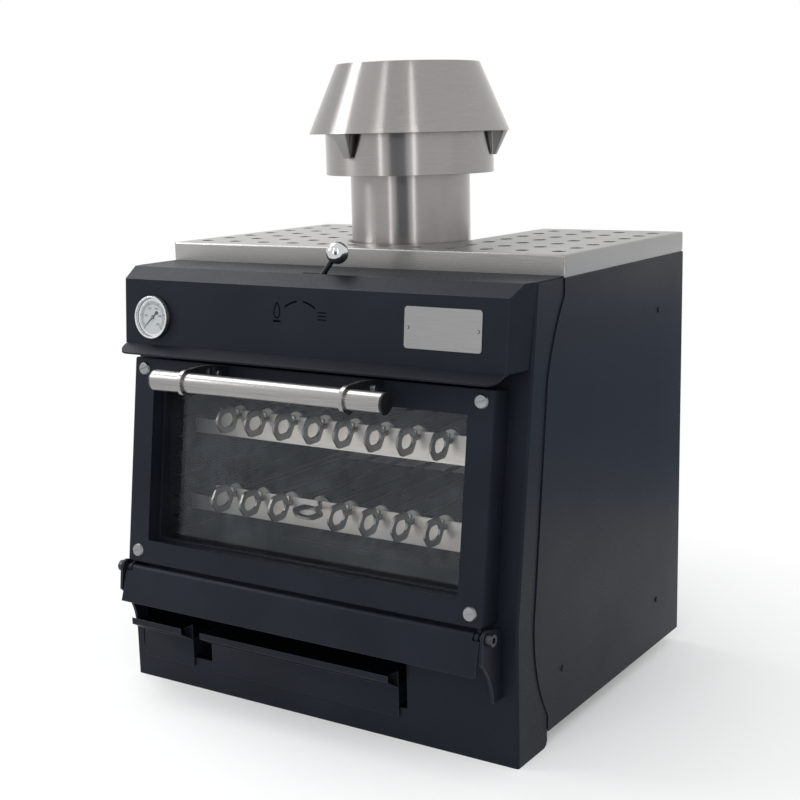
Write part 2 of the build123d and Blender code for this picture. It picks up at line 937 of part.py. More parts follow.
# Ribbed cavity walls: the ribs carry the rack runners
rib_top_lowest = upper_axis - rail_height + rail_above - seam - 5 * rib_pitch
wall_front = inner_front + seam
with BuildPart() as guide_walls:
    for side in (-1, 1):
        with BuildSketch(Plane.YZ.offset(side * cavity_half)):
            with BuildLine():
                Polyline(
                    (skirt_y + wall_front, cavity_floor),
                    (skirt_y + wall_front, knee_height),
                    (face_y(cavity_roof - seam) + wall_front, cavity_roof - seam),
                    (plate_front + cavity_back - seam, cavity_roof - seam),
                    (plate_front + cavity_back - seam, cavity_floor),
                    close=True,
                )
            make_face()
        extrude(amount=side * sheet)
        for level in range(rib_count):
            rib_top = rib_top_lowest + level * rib_pitch
            rib_front = face_y(rib_top) + rib_front_gap
            rib_length = plate_front + cavity_back - rib_back_gap - rib_front
            with BuildSketch(Plane.XZ.offset(-rib_front)):
                with Locations((side * cavity_half, rib_top)):
                    Rectangle(
                        rib_depth,
                        rib_height,
                        align=(Align.MAX if side > 0 else Align.MIN, Align.MAX),
                    )
            extrude(amount=-rib_length)
save(guide_walls, "guide_walls")

roof_front = face_y(cavity_roof) + wall_front + fold_in
with BuildPart() as liner_shell:
    with Locations((0, plate_front + cavity_back, cavity_floor)):
        Box(
            2 * (cavity_half + sheet),
            sheet,
            cavity_roof + sheet - cavity_floor,
            align=(Align.CENTER, Align.MIN, Align.MIN),
        )
    with Locations((0, roof_front, cavity_roof)):
        Box(
            2 * (cavity_half + sheet),
            plate_front + cavity_back - roof_front,
            sheet,
            align=(Align.CENTER, Align.MIN, Align.MIN),
        )
    with BuildSketch(Plane.XY.offset(cavity_roof)):
        with Locations((0, flue_y)):
            Circle(flue_radius - flue_wall)
    extrude(amount=sheet, mode=Mode.SUBTRACT)
save(liner_shell, "liner_shell")

# Insulation board over the cavity roof
with BuildPart() as roof_insulation:
    with Locations((0, roof_front + 2 * sheet, roof_top + seam)):
        Box(
            2 * cavity_half,
            plate_front + cavity_back - roof_front - 2 * sheet,
            insulation_thickness,
            align=(Align.CENTER, Align.MIN, Align.MIN),
        )
    with BuildSketch(Plane.XY.offset(roof_top)):
        with Locations((0, flue_y)):
            Circle(flue_radius + flue_seat + insulation_gap)
    extrude(amount=2 * insulation_thickness, mode=Mode.SUBTRACT)
save(roof_insulation, "roof_insulation")

# Hearth with the ash opening, and the cast grate over it
grate_y = plate_front + grate_back
hearth_front = skirt_y + wall_front
with BuildPart() as hearth_floor:
    with Locations((0, hearth_front, cavity_floor)):
        Box(
            2 * (cavity_half - seam),
            plate_front + cavity_back - seam - hearth_front,
            sheet,
            align=(Align.CENTER, Align.MIN, Align.MIN),
        )
    with Locations((0, grate_y, cavity_floor)):
        Box(
            grate_width - 2 * grate_lip,
            grate_depth - 2 * grate_lip,
            4 * sheet,
            mode=Mode.SUBTRACT,
        )
save(hearth_floor, "hearth_floor")

with BuildPart() as charcoal_grate:
    with BuildSketch(Plane.XY.offset(cavity_floor + sheet)):
        with Locations((0, grate_y)):
            RectangleRounded(grate_width, grate_depth, grate_round)
            with GridLocations((grate_width - grate_rim) / (grate_bars + 1), 1, grate_bars, 1):
                SlotOverall(
                    grate_depth - 2 * grate_rim, grate_slot, rotation=90, mode=Mode.SUBTRACT
                )
    extrude(amount=grate_thickness)
save(charcoal_grate, "charcoal_grate")


def rack(axis_height, forward, name):
    """Skewer rack: notched front and back rails joined by side runners."""
    bottom = axis_height - rail_height + rail_above
    front = plate_front - forward
    back = plate_front + rack_back
    with BuildPart() as frame:
        for y in (front, back):
            with BuildSketch(Plane.XZ.offset(-y)):
                with Locations((0, bottom)):
                    Rectangle(2 * rail_half, rail_height, align=(Align.CENTER, Align.MIN))
                    Rectangle(2 * rack_half, rail_stub, align=(Align.CENTER, Align.MIN))
                for index in range(skewer_count):
                    x = (index - (skewer_count - 1) / 2) * skewer_pitch
                    with Locations((x, axis_height)):
                        Circle(skewer_radius + running, mode=Mode.SUBTRACT)
                        Rectangle(
                            2 * (skewer_radius + running),
                            rail_height,
                            align=(Align.CENTER, Align.MIN),
                            mode=Mode.SUBTRACT,
                        )
            extrude(amount=-rail_thickness)
        for side in (-1, 1):
            with Locations((side * rack_half, front, bottom)):
                Box(
                    runner,
                    back - front,
                    runner,
                    align=(Align.MAX if side > 0 else Align.MIN, Align.MIN, Align.MIN),
                )
    save(frame, name)


rack(upper_axis, upper_rail_forward, "rack_upper")
rack(lower_axis, lower_rail_forward, "rack_lower")


def skewer(x, axis_height, forward, turn, name):
    """Skewer: flat ring grip, journal, stop disc and square blade, turned on its axis."""
    rail = plate_front - forward
    ring_y = rail - ring_gap - ring_length / 2
    disc_front = rail + rail_thickness + disc_play
    grip = Plane(
        origin=(x, ring_y, axis_height),
        x_dir=(0, 1, 0),
        z_dir=(cos(radians(turn)), 0, sin(radians(turn))),
    )
    along = Plane(
        origin=(x, ring_y + ring_length / 2 - ring_band, axis_height),
        x_dir=(1, 0, 0),
        z_dir=(0, 1, 0),
    )
    with BuildPart() as piece:
        with BuildSketch(grip.offset(-ring_thickness / 2)) as ring:
            Polygon(
                (-ring_length / 2, 0),
                (-ring_length / 4, ring_height / 2),
                (ring_length / 4, ring_height / 2),
                (ring_length / 2, 0),
                (ring_length / 4, -ring_height / 2),
                (-ring_length / 4, -ring_height / 2),
                align=None,
            )
            fillet(ring.vertices(), ring_radius)
            SlotOverall(
                ring_length - 2 * ring_band - 1.5 * ring_gap,
                ring_height - 2 * ring_band,
                mode=Mode.SUBTRACT,
            )
        extrude(amount=ring_thickness)
        with BuildSketch(along):
            Circle(skewer_radius)
        extrude(amount=disc_front + journal_length - ring_y - ring_length / 2 + ring_band)
        with BuildSketch(along.offset(disc_front - ring_y - ring_length / 2 + ring_band)):
            Circle(disc_radius)
        extrude(amount=disc_thickness)
        blade_root = ring_y + ring_length / 2 - ring_band
        blade_start = disc_front + journal_length - journal_lap - blade_root
        blade_end = plate_front + rack_back + tip_length - blade_root
        with BuildSketch(along.offset(blade_start)):
            Rectangle(blade_side, blade_side)
        extrude(amount=blade_end - blade_start)
        with BuildSketch(along.offset(blade_end)):
            Rectangle(blade_side, blade_side)
        extrude(amount=tip_length, taper=12)
    save(piece, name)


for row, axis_height, forward in (
    ("upper", upper_axis, upper_rail_forward),
    ("lower", lower_axis, lower_rail_forward),
):
    for index in range(skewer_count):
        x = (index - (skewer_count - 1) / 2) * skewer_pitch
        turn = 75 if row == "lower" and index == 3 else 0
        skewer(x, axis_height, forward, turn, f"skewer_{row}_{index + 1}")

# Door: folded outer frame with a deep window, two hinge lugs and two handle tabs
bracket_inside = (bracket_spread - bracket_thickness) / 2
with BuildPart() as door_frame:
    with BuildSketch(front_plane.offset(door_seam)):
        with Locations((0, (door_bottom + door_top) / 2)):
            RectangleRounded(door_width, door_top - door_bottom, door_round)
    extrude(amount=door_face - door_seam)
    fillet(door_frame.faces().sort_by(outward)[-1].edges(), face_round)
    with BuildSketch(front_plane.offset(door_seam)):
        with Locations((0, (door_bottom + door_top) / 2)):
            Rectangle(door_width - 2 * sheet, door_top - door_bottom - 2 * sheet)
        with Locations((0, (window_bottom + window_top) / 2)):
            Rectangle(
                window_width + 2 * sheet,
                window_top - window_bottom + 2 * sheet,
                mode=Mode.SUBTRACT,
            )
    extrude(amount=door_face - door_seam - sheet, mode=Mode.SUBTRACT)
    with BuildSketch(front_plane.offset(door_seam)):
        with Locations((0, (window_bottom + window_top) / 2)):
            RectangleRounded(window_width, window_top - window_bottom, window_round)
    extrude(amount=door_depth, mode=Mode.SUBTRACT)
    for side in (-1, 1):
        lug_start = side * lug_inside
        with BuildSketch(Plane.YZ.offset(lug_start)):
            with BuildLine():
                Polyline(
                    at(pivot_out - knuckle_radius, pivot_up),
                    at(pivot_out - knuckle_radius, door_bottom + lug_root),
                    at(pivot_out - lug_relief, door_bottom + lug_root),
                    at(pivot_out - lug_relief, pivot_up),
                    close=True,
                )
            make_face()
            with Locations(pivot):
                Circle(knuckle_radius)
                Circle(pivot_radius + running, mode=Mode.SUBTRACT)
        extrude(amount=side * lug_thickness)
    with BuildSketch(front_plane.offset(door_face)):
        with Locations(*door_screw_places):
            Circle(door_screw_shank + running)
    extrude(amount=-2 * sheet, mode=Mode.SUBTRACT)
    for side in (-1, 1):
        with BuildSketch(Plane.YZ.offset(side * (bracket_inside - seam))):
            with BuildLine():
                Polyline(
                    at(door_face - 1, handle_height - tab_below),
                    at(door_face - 1, handle_height + tab_above),
                    at(door_face + tab_reach, handle_height + tab_above),
                    at(door_face + tab_reach, handle_height - tab_below),
                    close=True,
                )
            make_face()
            with Locations(*bracket_bolt_places):
                Circle(bracket_bolt_radius + running, mode=Mode.SUBTRACT)
        extrude(amount=-side * tab_thickness)
save(door_frame, "door_frame")

glass_width = window_width + 2 * glass_lap
glass_height = window_top - window_bottom + 2 * glass_lap
window_middle = (0, (window_bottom + window_top) / 2)
door_middle = (0, (door_bottom + door_top) / 2)
seal_middle = (0, (seal_bottom + seal_top) / 2)
with BuildPart() as door_inner_frame:
    with BuildSketch(front_plane.offset(door_gap)):
        with Locations(door_middle):
            RectangleRounded(door_width - 2, door_top - door_bottom - 2, door_round)
        with Locations(window_middle):
            RectangleRounded(
                window_width - 2 * window_step,
                window_top - window_bottom - 2 * window_step,
                window_round,
                mode=Mode.SUBTRACT,
            )
    extrude(amount=door_inner_depth)
    with BuildSketch(front_plane.offset(door_gap)):
        with Locations(window_middle):
            Rectangle(glass_width + 2 * seam, glass_height + 2 * seam)
    extrude(amount=glass_set + glass_thickness, mode=Mode.SUBTRACT)
    with BuildSketch(front_plane.offset(door_gap)):
        with Locations(seal_middle):
            RectangleRounded(seal_width, seal_top - seal_bottom, seal_radius)
            RectangleRounded(
                seal_width - 2 * seal_band,
                seal_top - seal_bottom - 2 * seal_band,
                seal_radius - seal_band,
                mode=Mode.SUBTRACT,
            )
    extrude(amount=seal_band / 2, mode=Mode.SUBTRACT)
    with BuildSketch(front_plane.offset(door_seam)):
        with Locations(*door_screw_places):
            Circle(door_screw_shank + running)
    extrude(amount=-2 * sheet, mode=Mode.SUBTRACT)
save(door_inner_frame, "door_inner_frame")

with BuildPart() as door_glass:
    with BuildSketch(front_plane.offset(door_gap + glass_set)):
        with Locations(window_middle):
            Rectangle(glass_width, glass_height)
    extrude(amount=glass_thickness)
save(door_glass, "door_glass")

with BuildPart() as door_seal:
    with BuildSketch(front_plane.offset(door_gap - seal_proud)):
        with Locations(seal_middle):
            RectangleRounded(seal_width, seal_top - seal_bottom, seal_radius)
            RectangleRounded(
                seal_width - 2 * seal_band,
                seal_top - seal_bottom - 2 * seal_band,
                seal_radius - seal_band,
                mode=Mode.SUBTRACT,
            )
    extrude(amount=seal_proud + seal_band / 2 - running)
save(door_seal, "door_seal")

# Door screws: low domed heads with a straight slot
with BuildPart() as door_screws:
    with BuildSketch(front_plane.offset(door_seam - 1.5 * sheet)):
        with Locations(*door_screw_places):
            Circle(door_screw_shank)
    extrude(amount=door_face - door_seam + 1.5 * sheet)
    with BuildSketch(front_plane.offset(door_face)):
        with Locations(*door_screw_places):
            Circle(door_screw_radius)
    extrude(amount=sheet, taper=30)
    with BuildSketch(front_plane.offset(door_face + sheet)):
        with Locations(*door_screw_places):
            Rectangle(2 * door_screw_radius, 2, rotation=20)
    extrude(amount=-0.6 * sheet, mode=Mode.SUBTRACT)
save(door_screws, "door_screws")

# Handle: tube, end caps, two plate brackets with collars, and their bolts
with BuildPart() as handle_tube:
    with BuildSketch(Plane.YZ.offset(-handle_length / 2)):
        with Locations(handle_axis):
            Circle(handle_radius)
            Circle(handle_radius - handle_wall, mode=Mode.SUBTRACT)
    extrude(amount=handle_length)
save(handle_tube, "handle_tube")

with BuildPart() as handle_caps:
    for side in (-1, 1):
        with BuildSketch(Plane.YZ.offset(side * handle_length / 2)):
            with Locations(handle_axis):
                Circle(handle_radius)
        extrude(amount=side * cap_length)
    rims = handle_caps.edges().group_by(Axis.X)
    fillet(rims[0] + rims[-1], cap_length / 2)
    for side in (-1, 1):
        with BuildSketch(Plane.YZ.offset(side * (handle_length / 2 - cap_plug))):
            with Locations(handle_axis):
                Circle(handle_radius - handle_wall - running)
        extrude(amount=side * (cap_plug + cap_length / 2))
save(handle_caps, "handle_caps")

bracket_root = door_face + seam
with BuildPart() as handle_brackets:
    for side in (-1, 1):
        with BuildSketch(Plane.YZ.offset(side * bracket_inside)):
            with BuildLine():
                ThreePointArc(
                    at(bracket_root, handle_height + bracket_root_half),
                    at((bracket_root + handle_out) / 2, handle_height + bracket_arc_above),
                    at(handle_out, handle_height + collar_radius),
                )
                Line(
                    at(handle_out, handle_height + collar_radius),
                    at(handle_out, handle_height - collar_radius),
                )
                ThreePointArc(
                    at(handle_out, handle_height - collar_radius),
                    at((bracket_root + handle_out) / 2, handle_height - bracket_arc_below),
                    at(bracket_root, handle_height - bracket_root_half),
                )
                Line(
                    at(bracket_root, handle_height - bracket_root_half),
                    at(bracket_root, handle_height + bracket_root_half),
                )
            make_face()
            with Locations(handle_axis):
                Circle(collar_radius)
                Circle(handle_radius + running, mode=Mode.SUBTRACT)
            with Locations(*bracket_bolt_places):
                Circle(bracket_bolt_radius + running, mode=Mode.SUBTRACT)
        extrude(amount=side * bracket_thickness)
save(handle_brackets, "handle_brackets")

with BuildPart() as handle_bolts:
    for side in (-1, 1):
        nut_face = side * (bracket_inside - seam - tab_thickness)
        head_face = side * (bracket_inside + bracket_thickness)
        with BuildSketch(Plane.YZ.offset(nut_face)):
            with Locations(*bracket_bolt_places):
                RegularPolygon(bracket_bolt_head, 6)
        extrude(amount=-side * bracket_nut_height)
        with BuildSketch(Plane.YZ.offset(nut_face - side)):
            with Locations(*bracket_bolt_places):
                Circle(bracket_bolt_radius)
        extrude(amount=side + head_face - nut_face)
        with BuildSketch(Plane.YZ.offset(head_face)):
            with Locations(*bracket_bolt_places):
                Circle(bracket_bolt_head)
        extrude(amount=side * bracket_head_height, taper=8)
save(handle_bolts, "handle_bolts")

# Hinge plates: pointed cheeks that stand on the skirt
with BuildPart() as hinge_plates:
    for side in (-1, 1):
        root = (skirt_y, knee_height - 105)
        tip = (skirt_y - 25.5, knee_height - 104)
        throat = (skirt_y - 35, knee_height - 68)
        brow = (skirt_y - 58, knee_height - 37)
        ear_front = (pivot[0] - hinge_plate_round, pivot[1])
        ear_top = (pivot[0], pivot[1] + hinge_plate_round)
        with BuildSketch(Plane.YZ.offset(side * hinge_plate_inside)):
            with BuildLine():
                Line(root, tip)
                ThreePointArc(tip, throat, brow)
                Line(brow, ear_front)
                RadiusArc(ear_front, ear_top, hinge_plate_round)
                Line(ear_top, (skirt_y, knee_height))
                Line((skirt_y, knee_height), root)
            make_face()
            with Locations(pivot):
                Circle(pivot_radius + running, mode=Mode.SUBTRACT)
        extrude(amount=side * hinge_plate_thickness)
save(hinge_plates, "hinge_plates")

with BuildPart() as hinge_bolts:
    for side in (-1, 1):
        outer_face = side * (hinge_plate_inside + hinge_plate_thickness)
        with BuildSketch(Plane.YZ.offset(outer_face)):
            with Locations(pivot):
                Circle(pivot_radius)
        extrude(amount=-side * hinge_bolt_length)
        with BuildSketch(Plane.YZ.offset(outer_face)):
            with Locations(pivot):
                Circle(hinge_bolt_head)
        extrude(amount=side * hinge_head_height)
        with BuildSketch(Plane.YZ.offset(outer_face + side * hinge_head_height)):
            with Locations(pivot):
                RegularPolygon(hinge_socket_radius, 6)
        extrude(amount=-side * hinge_socket_depth, mode=Mode.SUBTRACT)
save(hinge_bolts, "hinge_bolts")

# Apron: rolled hem on the hinge bolts, with a sheet that hangs forward of it
apron_angle = radians(apron_rest)


def below(drop, out):
    """Y and Z of a point along the hanging sheet and out from its hinge line."""
    y = pivot[0] - drop * sin(apron_angle) - out * cos(apron_angle)
    z = pivot[1] - drop * cos(apron_angle) + out * sin(apron_angle)
    return (y, z)


with BuildPart() as apron:
    with BuildSketch(Plane.YZ.offset(-door_width / 2)):
        with BuildLine():
            Polyline(
                below(0, knuckle_radius),
                below(apron_length, knuckle_radius),
                below(apron_length, knuckle_radius - apron_sheet),
                below(0, knuckle_radius - apron_sheet),
                close=True,
            )
        make_face()
    extrude(amount=door_width)
    for side in (-1, 1):
        with BuildSketch(Plane.YZ.offset(side * knuckle_width / 2)):
            with Locations(pivot):
                Circle(knuckle_radius + knuckle_play)
        extrude(amount=side * hinge_plate_inside, mode=Mode.SUBTRACT)
    with BuildSketch(Plane.YZ.offset(-knuckle_width / 2)):
        with Locations(pivot):
            Circle(knuckle_radius)
    extrude(amount=knuckle_width)
    with BuildSketch(Plane.YZ.offset(-door_width / 2)):
        with Locations(pivot):
            Circle(pivot_radius + running)
    extrude(amount=door_width, mode=Mode.SUBTRACT)
save(apron, "apron")


def drawer(left, right, depth, name):
    """Open tray behind a front that overlaps the skirt, with a scooped lip and a corner tab."""
    front = skirt_y - front_standoff
    lip_y = front - lip_reach
    lip_z = front_top + lip_rise
    with BuildPart() as tray:
        with Locations(((left + right) / 2, front, tray_bottom)):
            Box(
                right - left - 2 * tray_side_gap,
                depth,
                front_top - tray_bottom,
                align=(Align.CENTER, Align.MIN, Align.MIN),
            )
        offset(amount=-drawer_sheet, openings=tray.faces().sort_by(Axis.Z)[-1])
        with BuildSketch(Plane.YZ.offset(left)):
            with BuildLine():
                Polyline(
                    (front, front_bottom),
                    (front, front_top),
                    (lip_y, lip_z),
                    (lip_y, lip_z + lip_hem),
                    (lip_y + drawer_sheet, lip_z + lip_hem),
                    (lip_y + drawer_sheet, lip_z + drawer_sheet / 2),
                    (front + drawer_sheet, front_top + drawer_sheet / 2),
                    (front + drawer_sheet, front_bottom),
                    close=True,
                )
            make_face()
        extrude(amount=right - left)
        tab_top = lip_z + lip_hem - drawer_sheet
        with BuildSketch(Plane.XZ.offset(-front)):
            with BuildLine():
                Polyline(
                    (right - corner_tab, front_top),
                    (right - corner_tab, tab_top - corner_tab_slope),
                    (right, tab_top),
                    (right, front_top),
                    close=True,
                )
            make_face()
        extrude(amount=-drawer_sheet)
    save(tray, name)


ash_depth = body_depth - ash_back_gap + skirt_reach
drawer(ash_left, ash_right, ash_depth, "ash_drawer")
drawer(air_left, air_right, air_depth, "air_drawer")
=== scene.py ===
import json
from math import atan, cos, radians, sin

import bmesh
import bpy
from mathutils import Matrix, Vector

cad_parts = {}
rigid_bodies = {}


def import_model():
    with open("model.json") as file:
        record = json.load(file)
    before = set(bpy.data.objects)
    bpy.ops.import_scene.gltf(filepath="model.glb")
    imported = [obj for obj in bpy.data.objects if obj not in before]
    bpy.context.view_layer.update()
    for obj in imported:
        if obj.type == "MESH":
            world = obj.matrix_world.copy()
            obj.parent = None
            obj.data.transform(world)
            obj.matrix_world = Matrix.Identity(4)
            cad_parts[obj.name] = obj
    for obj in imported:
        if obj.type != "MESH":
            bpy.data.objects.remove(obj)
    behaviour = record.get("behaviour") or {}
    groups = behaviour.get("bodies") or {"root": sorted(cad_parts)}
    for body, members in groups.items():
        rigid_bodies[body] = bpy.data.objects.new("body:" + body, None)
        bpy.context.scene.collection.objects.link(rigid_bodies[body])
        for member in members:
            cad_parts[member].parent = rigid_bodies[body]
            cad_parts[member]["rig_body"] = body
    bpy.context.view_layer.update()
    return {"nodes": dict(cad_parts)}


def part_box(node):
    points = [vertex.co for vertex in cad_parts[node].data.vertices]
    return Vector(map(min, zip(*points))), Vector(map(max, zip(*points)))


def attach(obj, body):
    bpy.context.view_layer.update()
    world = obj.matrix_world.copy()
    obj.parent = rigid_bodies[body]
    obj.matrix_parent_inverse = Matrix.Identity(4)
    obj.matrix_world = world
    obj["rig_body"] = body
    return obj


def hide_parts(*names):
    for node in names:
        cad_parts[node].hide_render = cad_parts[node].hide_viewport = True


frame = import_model()
nodes = frame["nodes"]
mm = 0.001  # the frame is in metres
plateLow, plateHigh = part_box("top_plate")
plateFront = plateLow.y  # front edge of the perforated plate, from which most places are measured
print("frame loaded:", len(nodes), "nodes")


# Small tools

def linear(hexColour):
    # sRGB hex to the linear values that Blender's sockets hold
    parts = [int(hexColour[k:k + 2], 16) / 255 for k in (1, 3, 5)]
    return tuple(c / 12.92 if c <= 0.04045 else ((c + 0.055) / 1.055) ** 2.4 for c in parts) + (1.0,)


def setInputs(node, inputs):
    # a socket, or a node's first output, is linked; anything else is set as a value
    for key, value in inputs.items():
        if isinstance(value, bpy.types.Node):
            value = value.outputs[0]
        if isinstance(value, bpy.types.NodeSocket):
            node.id_data.links.new(value, node.inputs[key])
        else:
            node.inputs[key].default_value = value


def addNode(tree, kind, inputs=None, **settings):
    node = tree.nodes.new(kind)
    for name, value in settings.items():
        setattr(node, name, value)
    setInputs(node, inputs or {})
    return node


def clearedTree(owner):
    owner.use_nodes = True
    owner.node_tree.nodes.clear()
    return owner.node_tree


def addObject(name, data):
    made = bpy.data.objects.new(name, data)
    bpy.context.scene.collection.objects.link(made)
    return made


def plainMesh(maker):
    # the mesh that an object's modifiers or text give
    return bpy.data.meshes.new_from_object(maker.evaluated_get(bpy.context.evaluated_depsgraph_get()))


# Materials

even = (1, 1, 1)  # a grain that isn't drawn out
noiseRoughness = 0.55  # how much the finer detail counts


def newMaterial(name, grains=None):
    # a shader with patterns on object coordinates: their place, and a noise for each named grain, which is
    # given as its size in mm, detail and stretch
    material = bpy.data.materials.new(name)
    tree = clearedTree(material)
    surface = addNode(tree, "ShaderNodeBsdfPrincipled")
    addNode(tree, "ShaderNodeOutputMaterial", {"Surface": surface})
    place = addNode(tree, "ShaderNodeTexCoord").outputs["Object"]
    patterns = {"place": place}
    for label, (sizeMm, detail, stretch) in (grains or {}).items():
        mapped = addNode(tree, "ShaderNodeMapping", {"Vector": place, "Scale": stretch})
        patterns[label] = addNode(tree, "ShaderNodeTexNoise", {
            "Vector": mapped, "Scale": 1000 / sizeMm, "Detail": detail, "Roughness": noiseRoughness})
    return material, tree, surface, patterns


def span(low, high, noiseLow=0.3, noiseHigh=0.7):
    # Map Range values that turn noise, most of which falls between 0.3 and 0.7, into low to high
    return {"From Min": noiseLow, "From Max": noiseHigh, "To Min": low, "To Max": high}


coat = {"colour": "#101318", "dust": "#181b22", "roughness": (0.36, 0.50),
        "specular": 0.155, "tint": "#dce8ff",  # a weak, slightly blue reflection keeps the sheet dark
        "peelMm": 0.9, "peelDepthMm": 0.04, "peelBump": 0.35,
        "patchMm": 142.86, "patchDust": 0.8, "patchGloss": (-0.03, 0.05),  # wiped dust
        "scuffMm": 1.4, "scuffStretch": (0.05, 0.35, 1), "scuffFrom": (0.62, 0.74),  # noise where rubs show
        "scuffDust": 0.5}


def powderCoat(name, look):
    # black polyester powder coat on steel: fine orange peel, satin sheen, wiped dust in broad patches and
    # faint rubs; the peel is drawn about twice as coarse as the real one, so that it shows
    material, tree, surface, patterns = newMaterial(name, {
        "patch": (look["patchMm"], 4, even), "peel": (look["peelMm"], 2, even),
        "speck": (3 * look["peelMm"], 2, even), "scuff": (look["scuffMm"], 3, look["scuffStretch"])})
    rubbed = addNode(tree, "ShaderNodeMapRange",
                     {"Value": patterns["scuff"], **span(0.0, look["scuffDust"], *look["scuffFrom"])})
    dusty = addNode(tree, "ShaderNodeMapRange",
                    {"Value": patterns["patch"], **span(0.0, look["patchDust"])})
    part = addNode(tree, "ShaderNodeMath", {0: rubbed, 1: dusty}, operation="MAXIMUM")
    tone = addNode(tree, "ShaderNodeMix", {0: part, 6: linear(look["colour"]), 7: linear(look["dust"])},
                   data_type="RGBA")
    dull = addNode(tree, "ShaderNodeMapRange", {"Value": patterns["speck"], **span(*look["roughness"])})
    wiped = addNode(tree, "ShaderNodeMapRange", {"Value": patterns["patch"], **span(*look["patchGloss"])})
    gloss = addNode(tree, "ShaderNodeMath", {0: dull, 1: wiped}, operation="ADD")
    bump = addNode(tree, "ShaderNodeBump", {"Height": patterns["peel"], "Strength": look["peelBump"],
                                            "Distance": look["peelDepthMm"] * mm})
    setInputs(surface, {"Base Color": tone.outputs[2], "Roughness": gloss, "Normal": bump,
                        "Specular IOR Level": look["specular"], "Specular Tint": linear(look["tint"])})
    return material


sheet = {"colour": "#a3a2a0", "shade": "#8b8a89", "roughness": (0.24, 0.36), "anisotropy": 0.7,
         "lineMm": 0.7, "lineShade": 0.7, "reliefMm": 0.012, "bump": 0.25,
         "smudgeMm": 200, "smudgeShade": 0.35}  # broad shades from handling
# which way the lines run; spare keeps the tangent from vanishing where a face looks along them
brushings = {"x": {"stretch": (0.015, 1, 1), "line": (1, 0, 0), "spare": (0, 0, 0.05)},
             "y": {"stretch": (1, 0.015, 1), "line": (0, 1, 0), "spare": (0, 0, 0.05)},
             "z": {"stretch": (1, 1, 0.015), "line": (0, 0, 1), "spare": (0.05, 0, 0)},
             "round": {"stretch": (0.02, 0.02, 1), "line": (0, 0, 1), "spare": (0.05, 0, 0)}}


def brushedSteel(name, look, along):
    # stainless sheet with a brushed grain along x, y, z or round an upright axis: lights are drawn out
    # across the grain, and the grain is about twice as coarse as the real one, so that it shows
    brushing = brushings[along]
    material, tree, surface, patterns = newMaterial(name, {
        "streak": (look["lineMm"], 3, brushing["stretch"]), "smudge": (look["smudgeMm"], 2, even)})
    shaded = addNode(tree, "ShaderNodeMapRange",
                     {"Value": patterns["streak"], **span(0.0, look["lineShade"])})
    tone = addNode(tree, "ShaderNodeMix", {0: shaded, 6: linear(look["colour"]), 7: linear(look["shade"])},
                   data_type="RGBA")
    handled = addNode(tree, "ShaderNodeMapRange",
                      {"Value": patterns["smudge"], **span(0.0, look["smudgeShade"])})
    smudge = addNode(tree, "ShaderNodeMix", {0: handled, 6: tone.outputs[2], 7: linear(look["shade"])},
                     data_type="RGBA")
    gloss = addNode(tree, "ShaderNodeMapRange", {"Value": patterns["streak"], **span(*look["roughness"])})
    normal = addNode(tree, "ShaderNodeNewGeometry").outputs["Normal"]
    across = addNode(tree, "ShaderNodeVectorMath", {0: normal, 1: brushing["line"]},
                     operation="CROSS_PRODUCT")
    if along == "round":
        across = addNode(tree, "ShaderNodeVectorMath", {0: normal, 1: across}, operation="CROSS_PRODUCT")
    across = addNode(tree, "ShaderNodeVectorMath", {0: across, 1: brushing["spare"]}, operation="ADD")
    bump = addNode(tree, "ShaderNodeBump", {"Height": patterns["streak"], "Strength": look["bump"],
                                            "Distance": look["reliefMm"] * mm})
    setInputs(surface, {"Base Color": smudge.outputs[2], "Roughness": gloss, "Metallic": 1.0,
                        "Anisotropic": look["anisotropy"], "Tangent": across, "Normal": bump})
    return material


evenLook = {"metallic": 0.0, "specular": 0.5, "detail": 3, "bump": 0.2, "reliefMm": 0.01}


def evenFinish(name, look):
    # moulded, cast, enamelled, printed or plated parts: one colour, with a grain or ripple in relief and
    # gloss that is coarser than the real one where that wouldn't show
    look = dict(evenLook, **look)
    material, tree, surface, patterns = newMaterial(
        name, {"cloud": (look["grainMm"], look["detail"], even)})
    gloss = addNode(tree, "ShaderNodeMapRange", {"Value": patterns["cloud"], **span(*look["roughness"])})
    bump = addNode(tree, "ShaderNodeBump", {"Height": patterns["cloud"], "Strength": look["bump"],
                                            "Distance": look["reliefMm"] * mm})
    setInputs(surface, {"Base Color": linear(look["colour"]), "Metallic": look["metallic"],
                        "Specular IOR Level": look["specular"], "Roughness": gloss, "Normal": bump})
    return material


pane = {"roughness": (0.02, 0.06), "grazingPower": 5.0,
        "hazeMm": 111.11, "wipeMm": 16.667, "wipeStretch": (1, 0.15, 0.5),
        "filmFrom": (0.15, 0.4)}  # noise from which the film starts and ends


def clearPane(name, look):
    # flat glass: see-through, mirroring more at a low angle, with a thin film of soot in patches
    look = dict(pane, **look)
    material, tree, surface, patterns = newMaterial(name, {
        "haze": (look["hazeMm"], 5, even), "wipe": (look["wipeMm"], 3, look["wipeStretch"])})
    both = addNode(tree, "ShaderNodeMath", {0: patterns["haze"], 1: patterns["wipe"]}, operation="MULTIPLY")
    film = addNode(tree, "ShaderNodeMapRange", {"Value": both, **span(*look["film"], *look["filmFrom"])})
    facing = addNode(tree, "ShaderNodeLayerWeight", {"Blend": 0.5}).outputs["Facing"]
    grazing = addNode(tree, "ShaderNodeMath", {0: facing, 1: look["grazingPower"]}, operation="POWER")
    total = addNode(tree, "ShaderNodeMath", {0: grazing, 1: film}, operation="ADD", use_clamp=True)
    gloss = addNode(tree, "ShaderNodeMapRange", {"Value": patterns["wipe"], **span(*look["roughness"])})
    setInputs(surface, {"Base Color": linear(look["colour"]), "Metallic": look["mirror"],
                        "Roughness": gloss, "Alpha": total})
    return material


